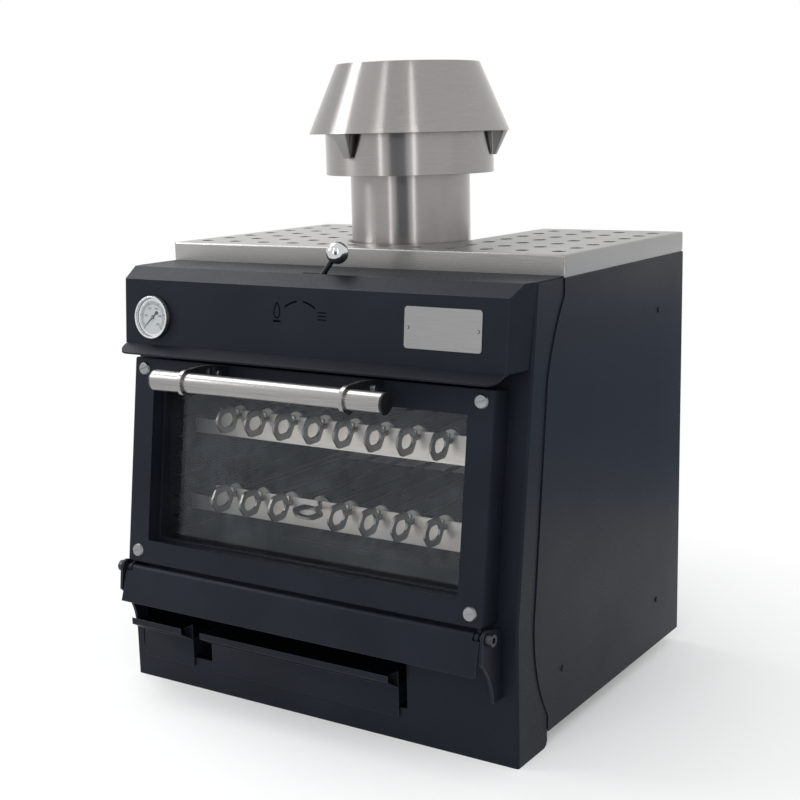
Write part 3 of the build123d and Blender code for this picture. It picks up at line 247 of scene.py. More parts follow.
def wovenRope(name, look):
    # glass-fibre rope: crossed twists, soft and dull; Blender's diagonal bands lie 2 pi / 10 of the scale
    # apart in x + y + z
    material, tree, surface, patterns = newMaterial(name)
    scale = radians(360) / (10 * 3 ** 0.5 * look["weaveMm"] * mm)
    twist = addNode(tree, "ShaderNodeTexWave", {"Vector": patterns["place"], "Scale": scale,
                                                "Distortion": look["waver"], "Detail": look["detail"]},
                    wave_type="BANDS", bands_direction="DIAGONAL").outputs[1]
    tone = addNode(tree, "ShaderNodeMix", {0: twist, 6: linear(look["colour"]), 7: linear(look["shade"])},
                   data_type="RGBA")
    bump = addNode(tree, "ShaderNodeBump", {"Height": twist, "Strength": look["bump"],
                                            "Distance": look["reliefMm"] * mm})
    setInputs(surface, {"Base Color": tone.outputs[2], "Roughness": look["roughness"], "Normal": bump})
    return material


blackCoat = powderCoat("blackPowderCoat", coat)
# folded edges: the coat is pulled thin and rubbed there, with a stronger, glossier reflection, and a
# lighter colour that is partly edge wear and partly a painted highlight along the bends
edgeCoatPaintedHighlight = powderCoat("powderCoatEdgesWearAndPaintedHighlight", dict(coat, colour="#1b1f26", dust="#2a2f38", specular=0.35,
                                                roughness=(0.26, 0.38)))
# cold-rolled sheet brushed along its length: fine lines on pale grey, bright where it faces the light
plateSteel = brushedSteel("brushedStainlessLengthways", sheet, "x")
# mill-rolled strip: pale and flat, with hardly a highlight
railSteel = brushedSteel("rolledStainlessRails",
                         dict(sheet, colour="#d6d3cd", shade="#c2beb7", lineMm=1.2, roughness=(0.40, 0.50),
                              anisotropy=0.2), "x")
# finely ground before it was rolled: bright upright bands from top to bottom
roundSteel = brushedSteel("brushedStainlessRound",
                          dict(sheet, colour="#9c9997", shade="#8f8d8b", lineMm=0.45,
                               roughness=(0.23, 0.27), anisotropy=0.85, reliefMm=0.002), "round")
# drawn tube, polished along its length: one sharp line of light
tubeSteel = brushedSteel("polishedStainlessTube",
                         dict(sheet, colour="#a6a5a4", shade="#7f7e7d", lineMm=0.8, roughness=(0.16, 0.32),
                              anisotropy=0.5, reliefMm=0.02), "x")
# bent offcuts left as they came: dull grey
dullSteel = brushedSteel("bentStainlessBrackets",
                         dict(sheet, colour="#b4b3b1", shade="#a09f9d", roughness=(0.45, 0.55),
                              anisotropy=0.1), "z")
# satin plate: an even pale grey with a soft sheen
badgeSteel = brushedSteel("satinStainlessPlate",
                          dict(sheet, colour="#9c9c9c", shade="#8c8c8c", roughness=(0.30, 0.40)), "x")
# steel under baked soot: nearly black, with only a broad weak sheen; the lines are streaks in the soot
sooted = dict(sheet, colour="#2b2e32", shade="#23262a", lineMm=3.0, roughness=(0.50, 0.60), anisotropy=0.2)
linerSteel = brushedSteel("sootedSteelLiner", sooted, "x")
wallSteel = brushedSteel("sootedSteelWalls", dict(sooted, lineMm=14, roughness=(0.54, 0.58)), "y")
# spun and polished: a smooth bright ring
bezelSteel = evenFinish("polishedStainlessBezel", {"colour": "#d2d3d5", "metallic": 1.0, "grainMm": 3,
                                                   "roughness": (0.22, 0.32)})
# laser-cut bar, tumbled: grey, bright only where it turns to the light
skewerSteel = evenFinish("lasercutStainless", {"colour": "#7d7b78", "metallic": 1.0, "grainMm": 1.5,
                                               "roughness": (0.26, 0.40), "reliefMm": 0.02})
# zinc plate: a cool, slightly cloudy shine
boltSteel = evenFinish("zincPlatedSteel", {"colour": "#8f9193", "metallic": 1.0, "grainMm": 2,
                                           "roughness": (0.28, 0.42), "reliefMm": 0.03})
# chemically blackened steel: dark with a greasy shine
darkBolt = evenFinish("blackenedBoltSteel", {"colour": "#3f4144", "metallic": 0.9, "grainMm": 2,
                                             "roughness": (0.30, 0.42), "reliefMm": 0.03})
darkRod = evenFinish("blackenedSteelRod", {"colour": "#17181a", "metallic": 0.6, "grainMm": 2,
                                           "roughness": (0.30, 0.45), "reliefMm": 0.02})
# plated and polished ball: a clear mirror
chrome = evenFinish("polishedChrome", {"colour": "#c9cacc", "metallic": 1.0, "grainMm": 8,
                                       "roughness": (0.05, 0.10)})
# grey iron cast in sand: a pebbly skin, dry and dark
iron = evenFinish("sandCastIron", {"colour": "#2b2b2c", "metallic": 0.7, "grainMm": 1.6, "detail": 4,
                                   "roughness": (0.6, 0.85), "reliefMm": 0.25, "bump": 0.6})
# moulded phenolic: deep black with a soft shine
capPlastic = evenFinish("blackPhenolicPlastic", {"colour": "#0c0c0e", "grainMm": 2.5,
                                                 "roughness": (0.3, 0.42), "reliefMm": 0.03})
# stoved enamel: flat pale grey behind the gauge's glass, and a whiter ring round it
dialEnamel = evenFinish("greyWhiteDialEnamel", {"colour": "#a7abae", "grainMm": 6,
                                                "roughness": (0.35, 0.5)})
ringEnamel = evenFinish("whiteRingEnamel", {"colour": "#cfd2d4", "grainMm": 4, "roughness": (0.3, 0.4)})
# screen print: dark on the dial, and blacker than the coat and without its sheen on the fascia
dialInk = evenFinish("darkDialPrint", {"colour": "#17181a", "grainMm": 1.2, "roughness": (0.4, 0.5)})
padInk = evenFinish("blackPadPrint", {"colour": "#010102", "grainMm": 1.2, "roughness": (0.6, 0.75),
                                      "specular": 0.02})
# pressed ceramic fibre: off-white, chalky and lumpy
board = evenFinish("ceramicFibreBoard", {"colour": "#d8d2c4", "grainMm": 4, "roughness": (0.85, 0.95),
                                         "reliefMm": 0.3})
# glass ceramic, greyed by smoke, and the gauge's own clear glass
paneGlass = clearPane("ceramicOvenGlass", {"colour": "#b9c1cb", "mirror": 0.85, "film": (0.035, 0.060)})
dialGlass = clearPane("gaugeGlass", {"colour": "#e4e8ec", "mirror": 0.9, "film": (0.025, 0.035)})
# braided glass fibre gone grey in use
ropeWeave = wovenRope("glassFibreRope", {"colour": "#77736c", "shade": "#4b4843", "weaveMm": 6.046,
                                         "waver": 2.0, "detail": 2.0, "roughness": 0.9, "bump": 0.6,
                                         "reliefMm": 0.4})
print("materials made:", len(bpy.data.materials))


# The CAD pieces with their edges rounded, all but the rope seal

# faces that meet at less than flatDegrees become one, and edges sharper than sharpDegrees are rounded,
# in three facets where the rounding is wider than wideEdgeMm and otherwise in two
cadFinish = {"mergeMm": 0.002, "flatDegrees": 0.4, "sharpDegrees": 28, "wideEdgeMm": 1.0}


def finished(nodeName, material, edgeMm, edgePaintedHighlightMaterial=None):
    # a merged copy of the node with its edges rounded off; the node itself stays as it is
    mesh = nodes[nodeName].data.copy()
    work = bmesh.new()
    work.from_mesh(mesh)
    bmesh.ops.remove_doubles(work, verts=work.verts, dist=cadFinish["mergeMm"] * mm)
    bmesh.ops.dissolve_limit(work, angle_limit=radians(cadFinish["flatDegrees"]), verts=work.verts,
                             edges=work.edges)
    work.to_mesh(mesh)
    work.free()
    piece = addObject(nodeName + "_finish", mesh)
    mesh.materials.clear()
    mesh.materials.append(material)
    if edgePaintedHighlightMaterial:
        mesh.materials.append(edgePaintedHighlightMaterial)
    mesh.shade_smooth()
    mesh.set_sharp_from_angle(angle=radians(cadFinish["sharpDegrees"]))
    if edgeMm:
        bevel = piece.modifiers.new("edges", "BEVEL")
        bevel.width = edgeMm * mm
        bevel.segments = 3 if edgeMm > cadFinish["wideEdgeMm"] else 2
        bevel.limit_method = "ANGLE"
        bevel.angle_limit = radians(cadFinish["sharpDegrees"])
        bevel.harden_normals = True
        bevel.use_clamp_overlap = True
        # the rounded edges take the second material where one is given: the lighter coat that is partly
        # wear and partly a painted highlight
        bevel.material = 1 if edgePaintedHighlightMaterial else -1
        settled = plainMesh(piece)
        piece.modifiers.clear()
        piece.data = settled
    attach(piece, nodes[nodeName]["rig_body"])
    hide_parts(nodeName)


sheetEdges = {"front_frame": 0.8, "side_panel_left": 0.5, "side_panel_right": 0.5, "back_panel": 0.4,
              "base_pan": 0.4, "rear_feet": 0.5, "hood": 0.9, "visor_lip": 0.8, "door_frame": 0.5,
              "door_inner_frame": 0.6, "hinge_plates": 0.8, "apron": 0.7, "ash_drawer": 0.5,
              "air_drawer": 0.5, "side_screws": 0.2}
# the black sheet's rounded edges carry the edge coat's painted highlight
for nodeName, edge in sheetEdges.items():
    finished(nodeName, blackCoat, edge, edgeCoatPaintedHighlight)
print("black sheet pieces done")

steelEdges = {"top_plate": (plateSteel, 0.4), "top_deck": (plateSteel, 0.4),
              "fascia_plate": (badgeSteel, 0.2), "thermometer_case": (bezelSteel, 0.5),
              "flue_tube": (roundSteel, 0.4), "firebreak_drum": (roundSteel, 0.5),
              "cap_cone": (roundSteel, 0.6), "cap_gussets": (dullSteel, 0.4), "damper": (tubeSteel, 0.3),
              "lever_rod": (darkRod, 0.3), "handle_tube": (tubeSteel, 0.3),
              "handle_brackets": (tubeSteel, 0.6), "door_screws": (boltSteel, 0.4),
              "handle_bolts": (boltSteel, 0.4), "hinge_bolts": (darkBolt, 0.4),
              "rack_upper": (railSteel, 0.3), "rack_lower": (railSteel, 0.3)}
for nodeName, (material, edge) in steelEdges.items():
    finished(nodeName, material, edge)
linerEdges = {"liner_shell": (linerSteel, 0.4), "hearth_floor": (linerSteel, 0.4),
              "guide_walls": (wallSteel, 0.4)}
for nodeName, (material, edge) in linerEdges.items():
    finished(nodeName, material, edge)
skewersInRow = 8
for row in ("upper", "lower"):
    for number in range(1, skewersInRow + 1):
        finished(f"skewer_{row}_{number}", skewerSteel, 0.5)
finished("charcoal_grate", iron, 1.2)
finished("lever_ball", chrome, 0)
finished("handle_caps", capPlastic, 0)
finished("thermometer_dial", dialEnamel, 0.1)
finished("thermometer_needle", dialInk, 0.05)
finished("thermometer_glass", dialGlass, 0.2)
finished("door_glass", paneGlass, 0.5)
finished("roof_insulation", board, 1.0)
print("metal, glass and other pieces done")


# Flat work on the leaning fascia: dial print and the lever's legend

def leaningPlace(middle, lean, outMm=0.0):
    # lays flat work on a sheet that leans back: x to the right, y up the sheet, z out of it
    outward = Vector((0, -cos(lean), sin(lean)))
    upward = Vector((0, sin(lean), cos(lean)))
    middle = middle + outward * outMm * mm
    return Matrix(((1, 0, 0, middle.x), (0, upward.y, outward.y, middle.y),
                   (0, upward.z, outward.z, middle.z), (0, 0, 0, 1)))


# the fascia runs from its bevel down to the visor: reaches forward of the plate, drops below the deck
fascia = {"reachMm": 146, "bevelReachMm": 136.4, "dropMm": 121, "bevelDropMm": 17.3}


def onFascia(xMm, dropMm, outMm):
    fall = (fascia["reachMm"] - fascia["bevelReachMm"]) / (fascia["dropMm"] - fascia["bevelDropMm"])
    reach = fascia["reachMm"] - (fascia["dropMm"] - dropMm) * fall
    middle = Vector((xMm * mm, plateFront - reach * mm, plateLow.z - dropMm * mm))
    return leaningPlace(middle, atan(fall), outMm)


def strip(work, points, widthMm, thickMm, closed=False):
    # a thin raised line of even width along points in millimetres
    count = len(points)
    half = widthMm / 2
    rows = []
    for k, here in enumerate(points):
        before = points[k - 1] if closed or k else here
        after = points[(k + 1) % count] if closed or k < count - 1 else here
        along = (Vector(after) - Vector(before)).normalized()
        side = Vector((-along.y, along.x)) * half
        corners = [(here[0] + sign * side.x, here[1] + sign * side.y, z)
                   for sign, z in ((1, 0), (1, thickMm), (-1, thickMm), (-1, 0))]
        rows.append([work.verts.new((x * mm, y * mm, z * mm)) for x, y, z in corners])
    for k in range(count if closed else count - 1):
        one, two = rows[k], rows[(k + 1) % count]
        for n in range(4):
            work.faces.new((one[n], one[(n + 1) % 4], two[(n + 1) % 4], two[n]))
    if not closed:
        work.faces.new(rows[0][::-1])
        work.faces.new(rows[-1])


printMergeMm = 0.0005  # points of the print closer than this are one


def settle(name, work, place, material):
    # turns a bmesh in plane coordinates into a piece of the fixed body, in its place
    bmesh.ops.remove_doubles(work, verts=work.verts, dist=printMergeMm * mm)
    bmesh.ops.recalc_face_normals(work, faces=work.faces)
    mesh = bpy.data.meshes.new(name)
    work.to_mesh(mesh)
    work.free()
    mesh.transform(place)
    mesh.materials.append(material)
    piece = addObject(name, mesh)
    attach(piece, "oven")


def arcPoints(radius, start, end, steps, centre=(0, 0)):
    turns = [radians(start + (end - start) * k / steps) for k in range(steps + 1)]
    return [(centre[0] + radius * cos(turn), centre[1] + radius * sin(turn)) for turn in turns]


def textSolid(word, sizeMm, thickMm, middle):
    # a number as a thin mesh, centred on a point of the plane
    curve = bpy.data.curves.new("number", "FONT")
    curve.body = word
    curve.size = sizeMm * mm
    curve.extrude = thickMm * mm / 2
    curve.resolution_u = 3
    curve.align_x = "CENTER"
    curve.align_y = "CENTER"
    maker = addObject("number", curve)
    mesh = plainMesh(maker)
    bpy.data.objects.remove(maker)
    mesh.transform(Matrix.Translation((middle[0] * mm, middle[1] * mm, thickMm * mm / 2)))
    return mesh


# the gauge's middle from the plate's left side and below the deck, its print on the dial's face
gauge = {"fromSideMm": 78.4, "dropMm": 77, "liftMm": 2.85, "numbers": (0, 100, 200, 300, 400, 500),
         "firstDegree": 225, "sweep": 270, "numberRadiusMm": 15.5, "numberMm": 5.2,
         "arcRadiusMm": 21.4, "arcSteps": 90, "lineMm": 0.6, "thickMm": 0.08, "markOuterMm": 25.8,
         "markMm": 1.2, "tickInnerMm": 22.4, "tickOuterMm": 25.2, "tickMm": 0.55, "tickThickMm": 0.16,
         "ticks": 51, "ringRadiusMm": 28.7, "ringMm": 3.2, "ringThickMm": 0.48}
gaugePlace = onFascia(plateLow.x / mm + gauge["fromSideMm"], gauge["dropMm"], gauge["liftMm"])
lastDegree = gauge["firstDegree"] - gauge["sweep"]

work = bmesh.new()
strip(work, arcPoints(gauge["arcRadiusMm"], gauge["firstDegree"], lastDegree, gauge["arcSteps"]),
      gauge["lineMm"], gauge["thickMm"])
for k, number in enumerate(gauge["numbers"]):
    turn = radians(gauge["firstDegree"] - gauge["sweep"] * k / (len(gauge["numbers"]) - 1))
    inner, outer, middle = [(radius * cos(turn), radius * sin(turn)) for radius in
                            (gauge["arcRadiusMm"], gauge["markOuterMm"], gauge["numberRadiusMm"])]
    strip(work, [inner, outer], gauge["markMm"], gauge["thickMm"])
    digits = textSolid(str(number), gauge["numberMm"], gauge["thickMm"], middle)
    work.from_mesh(digits)
    bpy.data.meshes.remove(digits)
settle("dial_scale", work, gaugePlace, dialInk)

work = bmesh.new()
ringPoints = arcPoints(gauge["ringRadiusMm"], 0, 360, gauge["arcSteps"])[:-1]
strip(work, ringPoints, gauge["ringMm"], gauge["ringThickMm"], closed=True)
settle("dial_ring", work, gaugePlace, ringEnamel)

# a drop over a short bar at one end of the lever's travel, three bars at the other, two arcs between
legend = {"dropMm": 50, "thickMm": 0.06,
          "arcs": ((128, 97), (83, 52)), "arcRadiusMm": 46, "arcDownMm": 34, "arcSteps": 14, "arcMm": 2.6,
          "flameX": -43, "flameY": -3, "flameHalfWide": 7.4, "flameHalfTall": 11.5, "flamePinch": 0.62,
          "flameStep": 18, "flameMm": 2.0, "footHalf": 7, "footY": -19.5, "footMm": 3.2,
          "bars": 3, "barsX": 41, "barHalf": 8, "barStep": 5.2, "barMm": 1.8}
work = bmesh.new()
for start, end in legend["arcs"]:
    points = arcPoints(legend["arcRadiusMm"], start, end, legend["arcSteps"], (0, -legend["arcDownMm"]))
    strip(work, points, legend["arcMm"], legend["thickMm"])
flame = []
for degrees in range(0, 360, legend["flameStep"]):
    turn = radians(degrees)
    pinched = 1 - legend["flamePinch"] * (1 + cos(turn)) / 2  # narrow at the top
    flame.append((legend["flameX"] + legend["flameHalfWide"] * sin(turn) * pinched,
                  legend["flameY"] + legend["flameHalfTall"] * cos(turn)))
strip(work, flame, legend["flameMm"], legend["thickMm"], closed=True)
strip(work, [(legend["flameX"] + sign * legend["footHalf"], legend["footY"]) for sign in (-1, 1)],
      legend["footMm"], legend["thickMm"])
for k in range(legend["bars"]):
    y = legend["flameY"] - legend["barStep"] * k
    strip(work, [(legend["barsX"] + sign * legend["barHalf"], y) for sign in (-1, 1)], legend["barMm"],
          legend["thickMm"])
settle("lever_legend", work, onFascia(0, legend["dropMm"], 0.0), padInk)
print("dial print and legend done")


# Geometry Nodes: ticks round an arc, a rolled rim at each point, strands twisted along a path

def newTree(name, sizes):
    # a tree with named inputs, each of which the modifier knows by an identifier
    tree = bpy.data.node_groups.new(name, "GeometryNodeTree")
    tree.interface.new_socket("Geometry", in_out="INPUT", socket_type="NodeSocketGeometry")
    kinds = {"Count": "Int", "Material": "Material"}  # the others are Float
    identifiers = {}
    for label in (*sizes, "Material"):
        kind = "NodeSocket" + kinds.get(label, "Float")
        identifiers[label] = tree.interface.new_socket(label, in_out="INPUT", socket_type=kind).identifier
    tree.interface.new_socket("Geometry", in_out="OUTPUT", socket_type="NodeSocketGeometry")
    return tree, addNode(tree, "NodeGroupInput").outputs, identifiers


def closeTree(tree, given, geometry):
    real = addNode(tree, "GeometryNodeRealizeInstances", {"Geometry": geometry})
    coloured = addNode(tree, "GeometryNodeSetMaterial", {"Geometry": real, "Material": given["Material"]})
    addNode(tree, "NodeGroupOutput", {"Geometry": coloured})


def grown(name, treeMaker, values, points, place, body, edges=()):
    # runs a tree on a mesh of points or lines and keeps the result as a plain mesh in its place
    tree, identifiers = treeMaker()
    guide = bpy.data.meshes.new(name)
    guide.from_pydata(points, edges, [])
    piece = addObject(name, guide)
    maker = piece.modifiers.new("make", "NODES")
    maker.node_group = tree
    for label, value in values.items():
        maker[identifiers[label]] = value
    settled = plainMesh(piece)
    piece.modifiers.clear()
    piece.data = settled
    settled.transform(place)
    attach(piece, body)
    return piece


def tickTree():
    tree, given, identifiers = newTree("dialTicks", ("Count", "First Degree", "Step Degrees", "Radius",
                                                     "Length", "Width", "Thickness"))
    dots = addNode(tree, "GeometryNodePoints", {"Count": given["Count"]})
    index = addNode(tree, "GeometryNodeInputIndex")
    degrees = addNode(tree, "ShaderNodeMath", {0: index, 1: given["Step Degrees"],
                                               2: given["First Degree"]}, operation="MULTIPLY_ADD")
    turn = addNode(tree, "ShaderNodeMath", {0: degrees}, operation="RADIANS")
    east = addNode(tree, "ShaderNodeMath", {0: turn}, operation="COSINE")
    north = addNode(tree, "ShaderNodeMath", {0: turn}, operation="SINE")
    spoke = addNode(tree, "ShaderNodeCombineXYZ", {"X": east, "Y": north})
    place = addNode(tree, "ShaderNodeVectorMath", {0: spoke, "Scale": given["Radius"]}, operation="SCALE")
    placed = addNode(tree, "GeometryNodeSetPosition", {"Geometry": dots, "Position": place})
    size = addNode(tree, "ShaderNodeCombineXYZ", {"X": given["Length"], "Y": given["Width"],
                                                  "Z": given["Thickness"]})
    tick = addNode(tree, "GeometryNodeMeshCube", {"Size": size})
    facing = addNode(tree, "ShaderNodeCombineXYZ", {"Z": turn})
    closeTree(tree, given, addNode(tree, "GeometryNodeInstanceOnPoints",
                                   {"Points": placed, "Instance": tick, "Rotation": facing}))
    return tree, identifiers


grown("dial_ticks", tickTree,
      {"Count": gauge["ticks"], "First Degree": float(lastDegree),
       "Step Degrees": gauge["sweep"] / (gauge["ticks"] - 1),
       "Radius": (gauge["tickInnerMm"] + gauge["tickOuterMm"]) / 2 * mm,
       "Length": (gauge["tickOuterMm"] - gauge["tickInnerMm"]) * mm, "Width": gauge["tickMm"] * mm,
       "Thickness": gauge["tickThickMm"] * mm, "Material": dialInk},
      [(0, 0, 0)], gaugePlace, "oven")

# the plate's holes in their square pattern, less those that the notch round the flue takes;
# a rim's middle lies rimDownMm below the plate's top
perforation = {"radiusMm": 11, "acrossMm": 61, "alongMm": 58, "columns": 12, "rows": 7, "firstRowMm": 49.5,
               "clearOfFlueMm": 121, "rollMm": 0.45, "rimDownMm": 0.315, "sides": 28, "rollSides": 6}


def rimTree():
    tree, given, identifiers = newTree("rolledRims", ("Radius", "Roll"))
    path = addNode(tree, "GeometryNodeCurvePrimitiveCircle", {"Resolution": perforation["sides"],
                                                              "Radius": given["Radius"]})
    roll = addNode(tree, "GeometryNodeCurvePrimitiveCircle", {"Resolution": perforation["rollSides"],
                                                              "Radius": given["Roll"]})
    ring = addNode(tree, "GeometryNodeCurveToMesh", {"Curve": path, "Profile Curve": roll})
    smooth = addNode(tree, "GeometryNodeSetShadeSmooth", {"Geometry": ring})
    spots = addNode(tree, "GeometryNodeMeshToPoints", {"Mesh": given["Geometry"]})
    closeTree(tree, given, addNode(tree, "GeometryNodeInstanceOnPoints",
                                   {"Points": spots, "Instance": smooth}))
    return tree, identifiers


flueLow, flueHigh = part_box("flue_tube")
flueY = (flueLow.y + flueHigh.y) / 2 - plateFront
rimPoints = []
for column in range(perforation["columns"]):
    for row in range(perforation["rows"]):
        x = (column - (perforation["columns"] - 1) / 2) * perforation["acrossMm"] * mm
        y = (perforation["firstRowMm"] + row * perforation["alongMm"]) * mm
        away = (x * x + min(0, y - flueY) ** 2) ** 0.5
        if away > perforation["clearOfFlueMm"] * mm:
            rimPoints.append((x, plateFront + y, plateHigh.z - perforation["rimDownMm"] * mm))
grown("perforation_rims", rimTree,
      {"Radius": perforation["radiusMm"] * mm, "Roll": perforation["rollMm"] * mm, "Material": plateSteel},
      rimPoints, Matrix(), "oven")
print("ticks and", len(rimPoints), "perforation rims done")

# the door's rope seal: twisted strands pressed into the groove behind the door frame
rope = {"bandMm": 8, "thickMm": 4.95, "cornerMm": 12, "cornerSteps": 8, "leanDegrees": 7.75, "strands": 3,
        "pitchMm": 17, "stepMm": 1.9, "strandMm": 1.5, "strandSides": 8, "playMm": 0.08}


def ropeTree():
    tree, given, identifiers = newTree("twistedRope", ("Turns", "Step", "Strand Radius", "Half Width",
                                                       "Half Height"))
    line = addNode(tree, "GeometryNodeMeshToCurve", {"Mesh": given["Geometry"]})
    path = addNode(tree, "GeometryNodeResampleCurve", {"Curve": line, "Length": given["Step"]},
                   mode="LENGTH")
    section = addNode(tree, "GeometryNodeCurvePrimitiveCircle",
                      {"Resolution": rope["strandSides"], "Radius": given["Strand Radius"]})
    tangent = addNode(tree, "GeometryNodeInputTangent")
    side = addNode(tree, "ShaderNodeVectorMath", {0: (0, 0, 1), 1: tangent}, operation="CROSS_PRODUCT")
    way = addNode(tree, "GeometryNodeSplineParameter").outputs["Factor"]
    joined = addNode(tree, "GeometryNodeJoinGeometry")
    for k in range(rope["strands"]):
        turned = addNode(tree, "ShaderNodeMath", {0: way, 1: given["Turns"], 2: k / rope["strands"]},
                         operation="MULTIPLY_ADD")
        angle = addNode(tree, "ShaderNodeMath", {0: turned, 1: radians(360)}, operation="MULTIPLY")
        offsets = {}
        for wave, label in (("COSINE", "Half Width"), ("SINE", "Half Height")):
            swing = addNode(tree, "ShaderNodeMath", {0: angle}, operation=wave)
            offsets[label] = addNode(tree, "ShaderNodeMath", {0: swing, 1: given[label]},
                                     operation="MULTIPLY")
        sideways = addNode(tree, "ShaderNodeVectorMath", {0: side, "Scale": offsets["Half Width"]},
                           operation="SCALE")
        upright = addNode(tree, "ShaderNodeCombineXYZ", {"Z": offsets["Half Height"]})
        offset = addNode(tree, "ShaderNodeVectorMath", {0: sideways, 1: upright}, operation="ADD")
        strand = addNode(tree, "GeometryNodeSetPosition", {"Geometry": path, "Offset": offset})
        solid = addNode(tree, "GeometryNodeCurveToMesh", {"Curve": strand, "Profile Curve": section})
        setInputs(joined, {0: solid})
    closeTree(tree, given, addNode(tree, "GeometryNodeSetShadeSmooth", {"Geometry": joined}))
    return tree, identifiers


low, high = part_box("door_seal")
lean = radians(rope["leanDegrees"])
wide = (high.x - low.x) / mm - rope["bandMm"]
tall = ((high.z - low.z) / mm - rope["thickMm"] * sin(lean)) / cos(lean) - rope["bandMm"]
bend = rope["cornerMm"] - rope["bandMm"] / 2
ropePoints = []
for start, signX, signY in ((0, 1, 1), (90, -1, 1), (180, -1, -1), (270, 1, -1)):
    corner = (signX * (wide / 2 - bend), signY * (tall / 2 - bend))
    ropePoints += [(x * mm, y * mm, 0)
                   for x, y in arcPoints(bend, start, start + 90, rope["cornerSteps"], corner)]
ropeEdges = [(k, (k + 1) % len(ropePoints)) for k in range(len(ropePoints))]
ropeLong = 2 * (wide + tall - 4 * bend) + radians(360) * bend
seal = grown("door_rope", ropeTree,
             {"Turns": float(round(ropeLong / rope["pitchMm"])), "Step": rope["stepMm"] * mm,
              "Strand Radius": rope["strandMm"] * mm,
              "Half Width": (rope["bandMm"] / 2 - rope["strandMm"] - rope["playMm"]) * mm,
              "Half Height": (rope["thickMm"] / 2 - rope["strandMm"] - rope["playMm"]) * mm,
              "Material": ropeWeave},
             ropePoints, leaningPlace((low + high) / 2, lean), "door", ropeEdges)
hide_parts("door_seal")
print("rope seal done:", len(seal.data.polygons), "faces")


# Stage, camera and light

def seenRays(tree):
    # 1 for what the camera, the metal and the glass see, 0 for the light that falls on the oven
    rays = addNode(tree, "ShaderNodeLightPath").outputs
    seen = addNode(tree, "ShaderNodeMath", {0: rays["Is Camera Ray"], 1: rays["Is Glossy Ray"]},
                   operation="MAXIMUM")
    return addNode(tree, "ShaderNodeMath", {0: seen, 1: rays["Is Transmission Ray"]}, operation="MAXIMUM")


# white floor that keeps the oven's shadow and fades into the white background, near to far in metres
stageLook = {"colour": "#ffffff", "roughness": 0.8, "size": 9.0, "near": 0.2, "far": 1.0}


def makeFloor(look):
    half = look["size"] / 2
    mesh = bpy.data.meshes.new("floor")
    mesh.from_pydata([(-half, -half, 0), (half, -half, 0), (half, half, 0), (-half, half, 0)], [],
                     [(0, 1, 2, 3)])
    material, tree, surface, patterns = newMaterial("paleStudioFloor")
    setInputs(surface, {"Base Color": linear(look["colour"]), "Roughness": look["roughness"]})
    away = addNode(tree, "ShaderNodeVectorMath", {0: patterns["place"]}, operation="LENGTH")
    fade = addNode(tree, "ShaderNodeMapRange",
                   {"Value": away.outputs["Value"], **span(0.0, 1.0, look["near"], look["far"])})
    part = addNode(tree, "ShaderNodeMath", {0: seenRays(tree), 1: fade}, operation="MULTIPLY")
    white = addNode(tree, "ShaderNodeEmission", {"Strength": 1.0})
    both = addNode(tree, "ShaderNodeMixShader", {0: part, 1: surface, 2: white})
    setInputs(tree.nodes["Material Output"], {"Surface": both})
    mesh.materials.append(material)
    addObject("floor", mesh)


makeFloor(stageLook)

# the photograph's own view, as solved from points of the oven; the place is from the plate's front edge
view = {"focalPx": 1389.25, "pictureWidthPx": 800, "azimuth": 33.172, "elevation": 11.106, "roll": -1.352,
        "standsAtMm": (1249.8, -1783.9, 908.4), "sensorMm": 36, "clip": (0.05, 60)}


def makeCamera(look):
    azimuth, elevation, roll = (radians(look[label]) for label in ("azimuth", "elevation", "roll"))
    right = Vector((cos(azimuth), sin(azimuth), 0))
    ahead = Vector((-sin(azimuth), cos(azimuth), 0))
    back = -ahead * cos(elevation) + Vector((0, 0, sin(elevation)))
    up = back.cross(right)
    turnedRight = cos(roll) * right + sin(roll) * up
    turnedUp = -sin(roll) * right + cos(roll) * up
    place = Vector(look["standsAtMm"]) * mm + Vector((0, plateFront, 0))
    data = bpy.data.cameras.new("camera")
    data.sensor_width = look["sensorMm"]
    data.lens = look["focalPx"] / look["pictureWidthPx"] * look["sensorMm"]
    data.clip_start, data.clip_end = look["clip"]
    camera = addObject("camera", data)
    camera.matrix_world = Matrix([(turnedRight[k], turnedUp[k], back[k], place[k]) for k in range(3)]
                                 + [(0, 0, 0, 1)])
    bpy.context.scene.camera = camera


makeCamera(view)

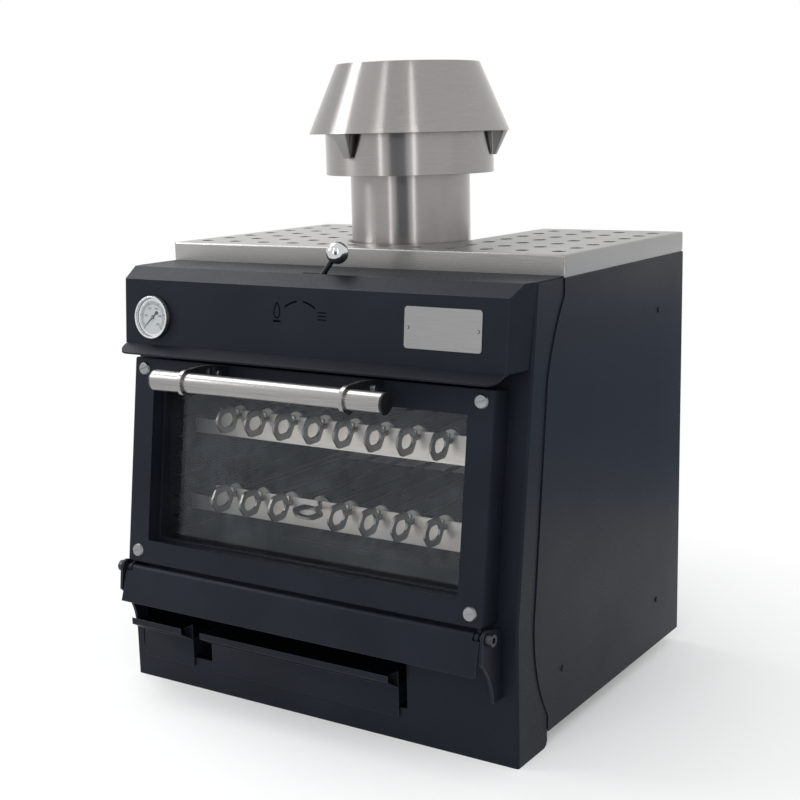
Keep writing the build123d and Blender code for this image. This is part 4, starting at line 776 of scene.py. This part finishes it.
# softboxes in metres and watts, all facing the oven's middle; fills that aren't mirrored light the sheet
# without a hot spot on the metal
lampAim = Vector((0, 0, 0.6))
lampLook = {
    "keySoftbox": {"place": (-3.0, -1.7, 2.3), "size": (0.9, 1.4), "power": 44, "mirrored": True},
    "frontFill": {"place": (0.9, -3.4, 1.6), "size": (2.2, 1.4), "power": 46, "mirrored": False},
    "sideFill": {"place": (3.0, -0.3, 1.6), "size": (1.6, 1.6), "power": 12, "mirrored": False},
    "topLeftSoftbox": {"place": (-2.1, 0.1, 3.5), "size": (1.8, 1.8), "power": 42, "mirrored": True},
    "leftStrip": {"place": (-0.41, -3.3, 2.1), "size": (0.24, 3.8), "power": 11, "mirrored": True},
    "rightStrip": {"place": (2.1, -2.6, 2.1), "size": (0.24, 3.8), "power": 12, "mirrored": True}}
for name, look in lampLook.items():
    data = bpy.data.lights.new(name, "AREA")
    data.shape = "RECTANGLE"
    data.size, data.size_y = look["size"]
    data.energy = look["power"]
    lamp = addObject(name, data)
    lamp.location = look["place"]
    lamp.rotation_euler = (lampAim - Vector(look["place"])).to_track_quat("-Z", "Y").to_euler()
    lamp.visible_glossy = look["mirrored"]

# dim studio cards, seen only in reflections: one puts the soft dark band on the round steel, one greys
# the side panel; they stand on the floor at an azimuth and a distance, in metres
cardLook = {"frontCard": {"colour": "#686c76", "azimuth": 17, "away": 2.7, "width": 1.1, "height": 1.5},
            "sideCard": {"colour": "#a4b2c8", "azimuth": 138, "away": 1.3, "width": 2.4, "height": 0.52}}


def makeCard(name, look):
    turn = radians(look["azimuth"])
    middle = Vector((sin(turn), -cos(turn), 0)) * look["away"]
    side = Vector((cos(turn), sin(turn), 0)) * look["width"] / 2
    lift = Vector((0, 0, look["height"]))
    mesh = bpy.data.meshes.new(name)
    mesh.from_pydata([middle - side, middle + side, middle + side + lift, middle - side + lift], [],
                     [(0, 3, 2, 1)])
    material = bpy.data.materials.new(name + "Board")
    tree = clearedTree(material)
    glow = addNode(tree, "ShaderNodeEmission", {"Color": linear(look["colour"]), "Strength": 1.0})
    addNode(tree, "ShaderNodeOutputMaterial", {"Surface": glow})
    mesh.materials.append(material)
    card = addObject(name, mesh)
    card.visible_camera = False
    card.visible_diffuse = False
    card.visible_shadow = False
    card.visible_transmission = False


for name, look in cardLook.items():
    makeCard(name, look)

worldLook = {"light": "#f4f6f8", "strength": 0.55, "backdrop": "#ffffff"}
world = bpy.data.worlds.new("studio")
bpy.context.scene.world = world
tree = clearedTree(world)
ambient = addNode(tree, "ShaderNodeBackground", {"Color": linear(worldLook["light"]),
                                                 "Strength": worldLook["strength"]})
backdrop = addNode(tree, "ShaderNodeBackground", {"Color": linear(worldLook["backdrop"]), "Strength": 1.0})
both = addNode(tree, "ShaderNodeMixShader", {0: seenRays(tree), 1: ambient, 2: backdrop})
addNode(tree, "ShaderNodeOutputWorld", {"Surface": both})

bpy.context.scene.view_settings.view_transform = "Standard"
print("stage, camera and light done")
